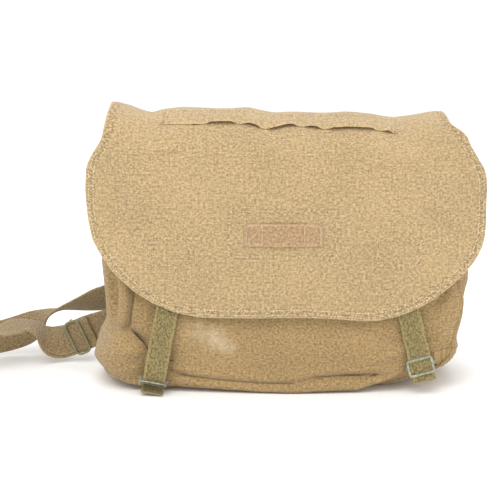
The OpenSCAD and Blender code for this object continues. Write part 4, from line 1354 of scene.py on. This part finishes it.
def flap_pieces(thick):
    """Crown and cover: one grid, its columns along the flap's outer edge, its rows along its profile."""
    _, cols = counts(470, 226)
    edge = evenly(COVER_EDGE, 0.5)
    weight = np.linalg.norm(np.diff(edge, axis=0) * [1, 0.3], axis=1)
    share = np.concatenate([[0], np.cumsum(weight)])
    at = np.linspace(0, share[-1], cols)
    ex, ez = np.interp(at, share, edge[:, 0]), np.interp(at, share, edge[:, 1])
    near = np.array([0.0, 0.3, 1.2])
    above = np.concatenate([np.linspace(3.0, JOINT - 3.0, 62), JOINT - near[::-1]])
    reach_down = (run_at_height(ez) - JOINT)[None]
    lower = 3.0 + np.linspace(0, 1, 112)[:, None] * (reach_down - 3.0)
    below = JOINT + np.concatenate([np.broadcast_to(near[:, None], (3, cols)), lower])
    run = np.concatenate([np.broadcast_to(above[:, None], (len(above), cols)), below[1:]])
    x = ex[None] * flap_reach(ex[None], run) / np.where(ex < 0, 224.0, 230.6)[None]
    grid = flap_at(x, run)
    normal = grid_normals(grid[::-1])[::-1]
    uv = np.stack([x, CLOTH_TOP - (run - JOINT)], -1)
    distance = edge_distance(x, run)
    worn = 1 - ease(distance, 0, 2.2)
    worn = np.maximum(worn, 0.7 * (1 - ease(run, 3, 5.5)))
    # Painted shade along the hem band and around the stitched patches.
    seam = seam_shade_mask(x, run)
    cut = len(above) - 1
    made = []
    for name, rows in (("flap_crown", slice(0, cut + 1)), ("flap_front", slice(cut, None))):
        joint = np.zeros(run[rows].shape, bool)
        joint[-1 if name == "flap_crown" else 0] = True
        part = [values[rows][::-1] for values in (grid, uv, worn, seam, normal)]
        made.append(sheet(name, part[0], part[1], thick, part[2], seam=part[3], normal=part[4],
                          joint=joint[::-1]))
    return made


def flap_reach(x, run):
    """Half width of the flap along its profile; over the back wall it follows that wall's top."""
    y = np.interp(run, RUN, PROFILE[:, 0])
    reach = side_reach(x, rise_at(run))
    return np.where(run < CREST_RUN, mix(reach, np.where(x < 0, 198.0, 196.0), ease(y, 24, 60)), reach)


def on_cover(points):
    """Outer surface of the flap's front at points given as x and z."""
    return skin(lambda x, z: flap_at(x, run_at_height(z)), points)


def on_crown(points):
    """Outer surface of the flap over the mouth at points given as x and y."""
    return skin(lambda x, y: flap_at(x, run_at_depth(y)), points)


def flap_y(z):
    """Depth of the flap's plain profile at height z."""
    return np.interp(run_at_height(z), RUN, PROFILE[:, 0])


def skin(surface, points):
    """Place and outward direction on the outside of the flap, from finite steps."""
    x, w = points[:, 0], points[:, 1]
    step = 1.2
    middle = surface(x, w)
    dx, dw = surface(x + step, w) - surface(x - step, w), surface(x, w + step) - surface(x, w - step)
    out = unit(np.cross(dx, dw))
    out = out * np.sign((out * np.array([0, -1.0, 0.6])).sum(-1, keepdims=True))
    return middle + out * FLAP_SKIN, out


def inset_edge(distance):
    """The cover's outer edge moved inwards, from one ear round to the other."""
    left = [(-through(np.array([z]), LEFT_SIDE)[0], z) for z in (292, 284, 276, 268, 260, 250, 242)]
    right = [(through(np.array([z]), RIGHT_SIDE)[0], z) for z in (242, 250, 260, 268, 276, 284, 292, 300)]
    line = evenly(left + COVER_EDGE[1:-1] + right, 2.0)
    way = unit(np.gradient(line, axis=0))
    line = line + np.stack([-way[:, 1], way[:, 0]], -1) * distance
    return line


def box_lines(x0, x1, z0, z1):
    """Four sides of a rectangle as separate lines."""
    return [[(x0, z0), (x1, z0)], [(x1, z0), (x1, z1)], [(x1, z1), (x0, z1)], [(x0, z1), (x0, z0)]]


class MAILBAG_OT_flap_trim(Operator):
    """Strip across the crown, label loop, and the stitches of the hem, the strip, the label and the
    patches behind them
    """

    bl_idname = "mailbag.flap_trim"
    bl_label = "Flap Trim and Stitches"

    def execute(self, context):
        cloth, thread = flap_canvas(), thread_material()
        self.strip(cloth, thread)
        self.label(thread)
        lines = [inset_edge(3.0), inset_edge(8.2)]
        parts = sewn(lines, on_cover, 5, pitch=3.3, length=2.6, width=1.15, skip=0.05)
        boxes = box_lines(-61, 60, 164, 216)
        boxes += [[(-151, 186), (-106, 186)], [(-106, 186), (-106, 122)], [(-151, 154), (-106, 154)],
                  [(-151, 186), (-151, 154)]]
        boxes += [[(107, 184), (156, 184)], [(107, 184), (107, 120)], [(107, 154), (156, 154)],
                  [(156, 184), (156, 154)]]
        parts += sewn(boxes, on_cover, 6, pitch=3.6, length=2.3, width=0.95, skip=0.25)
        stitches = dress(merge("stitches_cover", parts), thread)
        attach(stitches, "flap_cover")
        return {"FINISHED"}

    @staticmethod
    def strip(cloth, thread):
        """Long strip: sewn along its upper edge; the lower one gapes between its tacks."""
        x0, x1, y0, y1 = -135.0, 128.0, -2.0, -31.0
        rows, cols = 18, 170
        a, q = grid_axes(rows, cols)
        x, y = mix(x0, x1, a), mix(y0, y1, q)
        y = y + (2.4 * bell(x, 6, 16) + 0.8 * np.sin(x / 14.0)) * q ** 3
        place, out = on_crown(np.stack([x.ravel(), y.ravel()], -1))
        tacks = np.array([x0, -111, -92, -50, -22, 20, 47, 108, x1])
        gap = ease(np.abs(x[..., None] - tacks).min(-1), 1.5, 11) * ease(x, -112, -88)
        puff = 0.75 + 3.6 * ease(q, 0.35, 1.0) * gap + 0.3 * np.sin(q * math.pi)
        grid = place.reshape(rows, cols, 3) + out.reshape(rows, cols, 3) * puff[..., None]
        uv = np.stack([x, 340 + y], -1)
        worn = 1 - ease((1 - q) * 29, 0, 2.6)
        # Painted shade along the strip's stitch line and at its ends.
        seam = np.maximum(bell(q * 29, 4.0, 2.4), 0.6 * bell(np.minimum(x - x0, x1 - x), 3, 2))
        piece = dress(sheet("crown_strip", grid[::-1], uv[::-1], 1.2, worn[::-1], seam=seam[::-1]), cloth)
        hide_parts("top_strip")
        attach(piece, "flap_top")

        def on_strip(points):
            place, out = on_crown(points)
            return place + out * 1.5, out

        lines = [[(x0 + 2, y0 - 2.6), (x1 - 2, y0 - 2.6)], [(x0 + 2.5, y0 - 2), (x0 + 2.5, y1 + 2)],
                 [(x1 - 2.5, y0 - 2), (x1 - 2.5, y1 + 2)]]
        lines += [[(t, y1 + 9), (t, y1 + 2)] for t in tacks[1:-1]]
        parts = sewn(lines, on_strip, 8, pitch=3.2, length=2.5, width=1.0, skip=0.06)
        below = [[(-111, -35), (-60, -36)], [(-48, -38), (62, -37.4)]]
        parts += sewn(below, on_crown, 18, pitch=3.4, length=2.3, width=0.85, skip=0.15)
        rng = np.random.default_rng(31)
        ends = np.array([[x0 - 1, y1 + 1 + rng.uniform(0, 6)] for _ in range(9)]
                        + [[x1 + rng.uniform(-4, 4), y1 + rng.uniform(0, 7)] for _ in range(14)])
        place, out = on_strip(ends)
        ways = unit(np.stack([np.sign(ends[:, 0]) * rng.uniform(0.1, 1, len(ends)),
                              rng.uniform(-1, 0.2, len(ends)), rng.uniform(-0.6, 0.3, len(ends))], -1))
        parts += threads(place, ways, out, 32, 6.0, thick=0.22)
        stitches = dress(merge("stitches_crown", parts), thread)
        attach(stitches, "flap_top")

    @staticmethod
    def label(thread):
        """Label loop: two sewn ends and an open middle that stands off the flap."""
        x0, x1, z0, z1 = -44.0, 44.0, 176.5, 201.5
        rows, cols = 22, 74
        a, r = grid_axes(rows, cols)
        x, z = mix(x0, x1, a), mix(z0, z1, r)
        place, out = on_cover(np.stack([x.ravel(), z.ravel()], -1))
        open_share = ease(np.minimum(x - x0, x1 - x), 19, 30)
        hem = 0.5 * bell(r * 25, 1.5, 1.6) + 0.5 * bell(25 - r * 25, 1.5, 1.6)
        lift = 0.75 + 1.9 * open_share * (0.5 + 0.5 * np.cos((r - 0.5) * 1.6)) + hem
        pinch = bell(x, x0 + 20, 1.4) + bell(x, x1 - 20, 1.4)
        pinch = pinch + bell(x, x0 + 2.5, 1) + bell(x, x1 - 2.5, 1)
        lift = lift - 0.35 * np.clip(pinch, 0, 1)
        grid = place.reshape(rows, cols, 3) + out.reshape(rows, cols, 3) * lift[..., None]
        uv = np.stack([x + 7, z + 3], -1)
        # Pale rim all round the label: frayed wear, and painted highlight along its folded top and bottom
        # edges.
        worn = np.clip(1.4 * rim_wear_and_highlight(rows, cols, 88, 25, 2.4), 0, 1)
        label_cloth = canvas_material("label_canvas", bpy.context.scene.mail_bag_colours.label_canvas,
                                      slub=0.5, flecks=0.4, shade_change=0.6)
        piece = dress(sheet("label_strip", grid, uv, 1.2, worn), label_cloth)
        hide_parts("label_loop")
        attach(piece, "flap_cover")

        def on_label(points):
            place, out = on_cover(points)
            return place + out * 1.55, out

        lines = box_lines(x0 + 2, x0 + 20, z0 + 2.2, z1 - 2.2)
        lines += box_lines(x1 - 20, x1 - 2, z0 + 2.2, z1 - 2.2)
        lines += [[(x0 + 3, z0 + 3), (x0 + 19, z1 - 3)]]
        parts = sewn(lines, on_label, 14, pitch=2.9, length=2.3, width=0.95, skip=0.06)
        rng = np.random.default_rng(44)
        corners = [(x0, z0), (x0, z1), (x1, z0 + 1), (x1, z1), (x1, z0 + 12), (x1 - 18, z0)]
        ends = np.array([np.array(c) + rng.normal(0, 1.6, 2) for c in corners for _ in range(5)])
        place, out = on_label(ends)
        ways = unit(np.stack([rng.normal(0, 1, len(ends)), rng.normal(0, 0.2, len(ends)),
                              rng.normal(0, 1, len(ends))], -1))
        parts += threads(place, ways, out, 45, 2.6)
        stitches = dress(merge("stitches_label", parts), thread)
        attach(stitches, "flap_cover")


class MAILBAG_OT_patches(Operator):
    """Reinforcing patches sewn behind the flap"""

    bl_idname = "mailbag.patches"
    bl_label = "Patches"

    def execute(self, context):
        cloth = body_canvas()
        for name, node, x0, x1, z0, z1 in (
                ("patch_label", "label_backing", -61, 60, 164, 216),
                ("patch_left", "closure_backing_left", -151, -106, 154, 186),
                ("patch_right", "closure_backing_right", 107, 156, 154, 184)):
            rows, cols = counts(x1 - x0, z1 - z0)
            a, r = grid_axes(rows, cols)
            x, z = mix(x0, x1, a), mix(z0, z1, r)
            place, out = on_cover(np.stack([x.ravel(), z.ravel()], -1))
            grid = (place - out * (2 * FLAP_SKIN + 0.72)).reshape(rows, cols, 3)
            worn = 0.6 * rim_wear_and_highlight(rows, cols, x1 - x0, z1 - z0, 2.5)
            piece = dress(sheet(name, grid, np.stack([x, z], -1), 1.2, worn), cloth)
            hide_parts(node)
            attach(piece, "flap_cover")
        return {"FINISHED"}


def buckle_place(points, side):
    """Turns and moves points from a buckle's own axes to its place on the bag."""
    lean, pitch = math.radians(-CLOSURES[side]["lean"]), math.radians(CLOSURES[side]["pitch"])
    x, y, z = points[:, 0], points[:, 1], points[:, 2]
    y, z = y * math.cos(pitch) - z * math.sin(pitch), y * math.sin(pitch) + z * math.cos(pitch)
    x, z = x * math.cos(lean) + z * math.sin(lean), -x * math.sin(lean) + z * math.cos(lean)
    return np.stack([x, y, z], -1) + np.array(CLOSURES[side]["buckle"])


class MAILBAG_OT_closures(Operator):
    """Webbing closures, their buckles and the tabs that hold the buckles"""

    bl_idname = "mailbag.closures"
    bl_label = "Closures"

    def execute(self, context):
        sizes, colours = context.scene.mail_bag_sizes, context.scene.mail_bag_colours
        web = webbing_material()
        metal = metal_material("buckle_paint", colours.buckle_paint)
        for side in CLOSURES:
            strap = dress(self.strap(side, sizes), web)
            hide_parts("closure_strap_" + side, "closure_end_" + side)
            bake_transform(strap)
            ring = dress(self.buckle(side), metal)
            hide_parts("buckle_frame_" + side)
            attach(ring, "buckle_" + side)
            dress(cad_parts["buckle_bar_" + side], metal)
            tab = dress(self.tab(side), web)
            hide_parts("buckle_tab_" + side)
            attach(tab, "buckle_" + side)
        return {"FINISHED"}

    @staticmethod
    def strap(side, sizes):
        """Webbing: down behind the flap to its edge, then along the free route through the buckle."""
        spec = CLOSURES[side]
        lean = math.radians(spec["lean"])
        z = np.linspace(180, 96.5, 30)
        x = spec["exit"][0] - (z - spec["exit"][1]) * math.tan(lean)
        y = flap_y(z) + 10 * (np.abs(x) / 229.0) ** 6 + 3.14
        path = np.concatenate([np.stack([x, y, z], -1), spline(spec["route"], 8)])
        path = evenly(path, 1.6)
        along = unit(np.gradient(path, axis=0))
        wide = np.broadcast_to(np.array([math.cos(lean), 0, math.sin(lean)]), path.shape)
        wide = unit(wide - along * (wide * along).sum(-1, keepdims=True))
        width, across = sizes.webbing_width / MM, 21
        u = np.linspace(-1, 1, across)
        run = np.arange(len(path)) * 1.6
        ragged = 1 + 0.012 * np.sin(run * 2.9)[:, None] * (np.abs(u) > 0.9)
        ragged = ragged + 0.01 * np.sin(run / 17.0)[:, None]
        face = np.cross(along, wide)
        dip = 0.35 * np.sin(run / 21.0)[:, None] * (1 - u[None] ** 2) * ease(run, 80, 100)[:, None]
        dip = dip * (1 - ease(run, run[-1] - 52, run[-1] - 36)[:, None])
        grid = path[:, None] + wide[:, None] * (u * width / 2 * ragged)[..., None]
        grid = grid + face[:, None] * dip[..., None]
        uv = np.stack(np.broadcast_arrays((u * width / 2)[None], run[:, None]), -1)
        worn = (np.abs(u) > 0.88)[None] + 0.8 * ease(run, run[-1] - 4, run[-1])[:, None]
        thick = sizes.webbing_thickness / MM
        return sheet("closure_" + side, grid, uv, thick, np.clip(worn, 0, 1), flip=True)

    @staticmethod
    def buckle(side):
        """Flat frame: a rounded section carried round a rectangle, with two lugs back to the bar."""
        w, h, thick = 31.0, 21.0, 1.6
        corner = 2.2
        turn = np.radians(np.arange(0, 360, 15) + 7.5)
        cx = np.sign(np.cos(turn)) * (w / 2 - 1.25 - corner) + np.cos(turn) * corner
        cz = np.sign(np.sin(turn)) * (h / 2 - 1.25 - corner) + np.sin(turn) * corner
        ring = evenly(np.stack([cx, 0 * cx, cz], -1)[list(range(len(cx))) + [0]], 0.9)[:-1]
        points, quads, tris = tube(ring, 1.45, sides=14, closed=True)
        points[:, 1] = np.clip(points[:, 1], -thick / 2, thick / 2)
        parts = [(points, quads, tris)]
        for end in (-1, 1):
            y = np.linspace(0.2, BAR_Y + 1.9, 9)
            leg = np.stack([0 * y + end * (w / 2 - 1.2), y, 0 * y], -1)
            radius = 2.3 * np.sqrt(np.clip(1 - ((y - 0.2) / (BAR_Y + 2.3)) ** 4, 0.05, 1))
            p, q, t = tube(leg, radius, sides=14, face=np.array([1.0, 0, 0]))
            p[:, 0] = end * (w / 2 - 1.2) + (p[:, 0] - end * (w / 2 - 1.2)) * 0.46
            parts.append((p, q, t))
        placed = [(buckle_place(p, side), q, t) for p, q, t in parts]
        return merge("buckle_ring_" + side, placed)

    @staticmethod
    def tab(side):
        """Tab: webbing that comes up from the bag, turns over the bar and goes back down."""
        drop, aim = CLOSURES[side]["tab"]
        aim = math.radians(aim)
        turn = np.linspace(-math.pi / 2, 1.5 * math.pi, 26) + math.pi / 2
        inner = 1.72
        loop = np.stack([BAR_Y + inner * np.cos(turn + aim), inner * np.sin(turn + aim)], -1)
        loop = loop[(np.arange(len(loop)) < 14)]
        down = np.array([math.sin(aim), -math.cos(aim)])
        sidewise = np.array([math.cos(aim), math.sin(aim)])
        legs = np.linspace(drop, 0.6, 6)[:, None]
        apart = sidewise * mix(inner, 0.52, np.clip(legs / 4.0, 0, 1))
        first = np.array([BAR_Y, 0]) + down * legs + apart
        second = (np.array([BAR_Y, 0]) + down * legs - apart)[::-1]
        line = evenly(np.concatenate([first, loop, second]), 0.5)
        u = np.linspace(-12, 12, 15)
        grid = np.stack(np.broadcast_arrays(u[None], line[:, 0][:, None], line[:, 1][:, None]), -1)
        run = np.arange(len(line)) * 0.5
        uv = np.stack(np.broadcast_arrays(u[None], run[:, None]), -1)
        shape = grid.shape
        placed = buckle_place(grid.reshape(-1, 3), side).reshape(shape)
        worn = np.broadcast_to((np.abs(u) > 10.5) * 1.0, shape[:2])
        return sheet("tab_" + side, placed, uv, 0.95, worn)


class MAILBAG_OT_anchors(Operator):
    """Patches that hold the shoulder strap on the back wall, with their box stitches"""

    bl_idname = "mailbag.anchors"
    bl_label = "Strap Anchors"

    def execute(self, context):
        cloth, thread = body_canvas(), thread_material()
        parts = []
        for side, a0, a1, v0, v1 in (("left", 0.89, 0.985, 0.055, 0.215),
                                     ("right", 0.015, 0.11, 0.2, 0.36)):
            a, v = grid_axes(24, 20)
            a, v = mix(a0, a1, a), mix(v0, v1, v)
            grid = back_at(a, v)
            out = grid_normals(grid)
            grid = grid + out * (1.0 + 0.12 + 0.6 + 0.25)
            uv = np.stack([-grid[..., 0], grid[..., 2]], -1)
            piece = sheet("anchor_" + side, grid, uv, 1.2, 0.7 * rim_wear_and_highlight(24, 20, 38, 48, 2.5))
            dress(piece, cloth)
            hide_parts("strap_anchor_" + side)
            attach(piece, "bag")

            low, high = 0.07, 0.93
            corners = [(mix(a0, a1, p), mix(v0, v1, q)) for p, q in ((low, 0.06), (high, 0.06),
                                                                     (high, 0.94), (low, 0.94))]
            for k in range(4):
                shares = np.linspace(corners[k], corners[(k + 1) % 4], 12)
                places = back_at(shares[:, 0], shares[:, 1]) + np.array([0, 2.7, 0])
                parts.append(stitch_line(places, BACKWARD, 3.4, (2.4, 0.7, 0.6)))
        for x0, x1, z0, z1, y in ((-191, -174, 38, 68, 68.35), (174, 192, 84, 116, 68.4)):
            for line in box_lines(x0, x1, z0, z1) + [[(x0, z0), (x1, z1)], [(x0, z1), (x1, z0)]]:
                places = np.array([(x, y, z) for x, z in line])
                parts.append(stitch_line(places, BACKWARD, 3.2, (2.4, 0.75, 0.6)))
        stitches = dress(merge("stitches_anchor", parts), thread)
        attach(stitches, "bag")
        return {"FINISHED"}


def wall_skin(surface, points):
    """Outer place and direction on a wall given as two shares."""
    a, v = points[:, 0], points[:, 1]
    step = 0.004
    middle = surface(a, v)
    da = surface(np.clip(a + step, 0, 1), v) - surface(np.clip(a - step, 0, 1), v)
    dv = surface(a, np.clip(v + step, 0, 1)) - surface(a, np.clip(v - step, 0, 1))
    out = unit(np.cross(da, dv))
    return middle + out * WALL_SKIN, out


class MAILBAG_OT_seams(Operator):
    """Stitches along the bag's corner seams, base seam and mouth"""

    bl_idname = "mailbag.seams"
    bl_label = "Bag Seams"

    def execute(self, context):
        parts = []
        for surface, lines in (
                (front_at, [[(0.012, 0.02), (0.012, 0.98)], [(0.988, 0.02), (0.988, 0.98)],
                            [(0.01, 0.978), (0.99, 0.978)], [(0.01, 0.95), (0.99, 0.95)]]),
                (back_at, [[(0.012, 0.02), (0.012, 0.96)], [(0.988, 0.02), (0.988, 0.96)],
                           [(0.01, 0.02), (0.99, 0.02)]])):
            for start, end in lines:
                places, normals = wall_skin(surface, np.linspace(start, end, 120))
                parts.append(stitch_line(places, normals, 3.4, (2.4, 0.65, 0.5), lift=0.05))
        stitches = dress(merge("stitches_bag", parts), thread_material())
        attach(stitches, "bag")
        return {"FINISHED"}


class MAILBAG_PT_panel(Panel):
    """Lists the sizes, colours and steps"""

    bl_idname = "MAILBAG_PT_panel"
    bl_label = "Mail Bag"
    bl_space_type = "VIEW_3D"
    bl_region_type = "UI"
    bl_category = "Mail Bag"

    def draw(self, context):
        layout = self.layout
        for group_of in (context.scene.mail_bag_sizes, context.scene.mail_bag_colours):
            box = layout.box()
            for name in group_of.__annotations__:
                box.prop(group_of, name)
        for maker in MAKERS:
            layout.operator(maker.bl_idname)


MAKERS = (MAILBAG_OT_stage, MAILBAG_OT_straps, MAILBAG_OT_body, MAILBAG_OT_flap, MAILBAG_OT_flap_trim,
          MAILBAG_OT_patches, MAILBAG_OT_closures, MAILBAG_OT_anchors, MAILBAG_OT_seams)
CLASSES = (MailBagSizes, MailBagColours) + MAKERS + (MAILBAG_PT_panel,)


def register():
    """Adds the classes and the scene's settings."""
    for item in CLASSES:
        bpy.utils.register_class(item)
    bpy.types.Scene.mail_bag_sizes = PointerProperty(type=MailBagSizes)
    bpy.types.Scene.mail_bag_colours = PointerProperty(type=MailBagColours)


def unregister():
    """Takes the settings and the classes away again."""
    del bpy.types.Scene.mail_bag_colours
    del bpy.types.Scene.mail_bag_sizes
    for item in reversed(CLASSES):
        bpy.utils.unregister_class(item)


def main():
    """Makes every piece in order."""
    register()
    for maker in MAKERS:
        step = maker.bl_idname.split(".")[1]
        getattr(bpy.ops.mailbag, step)()


if __name__ == "__main__":
    main()
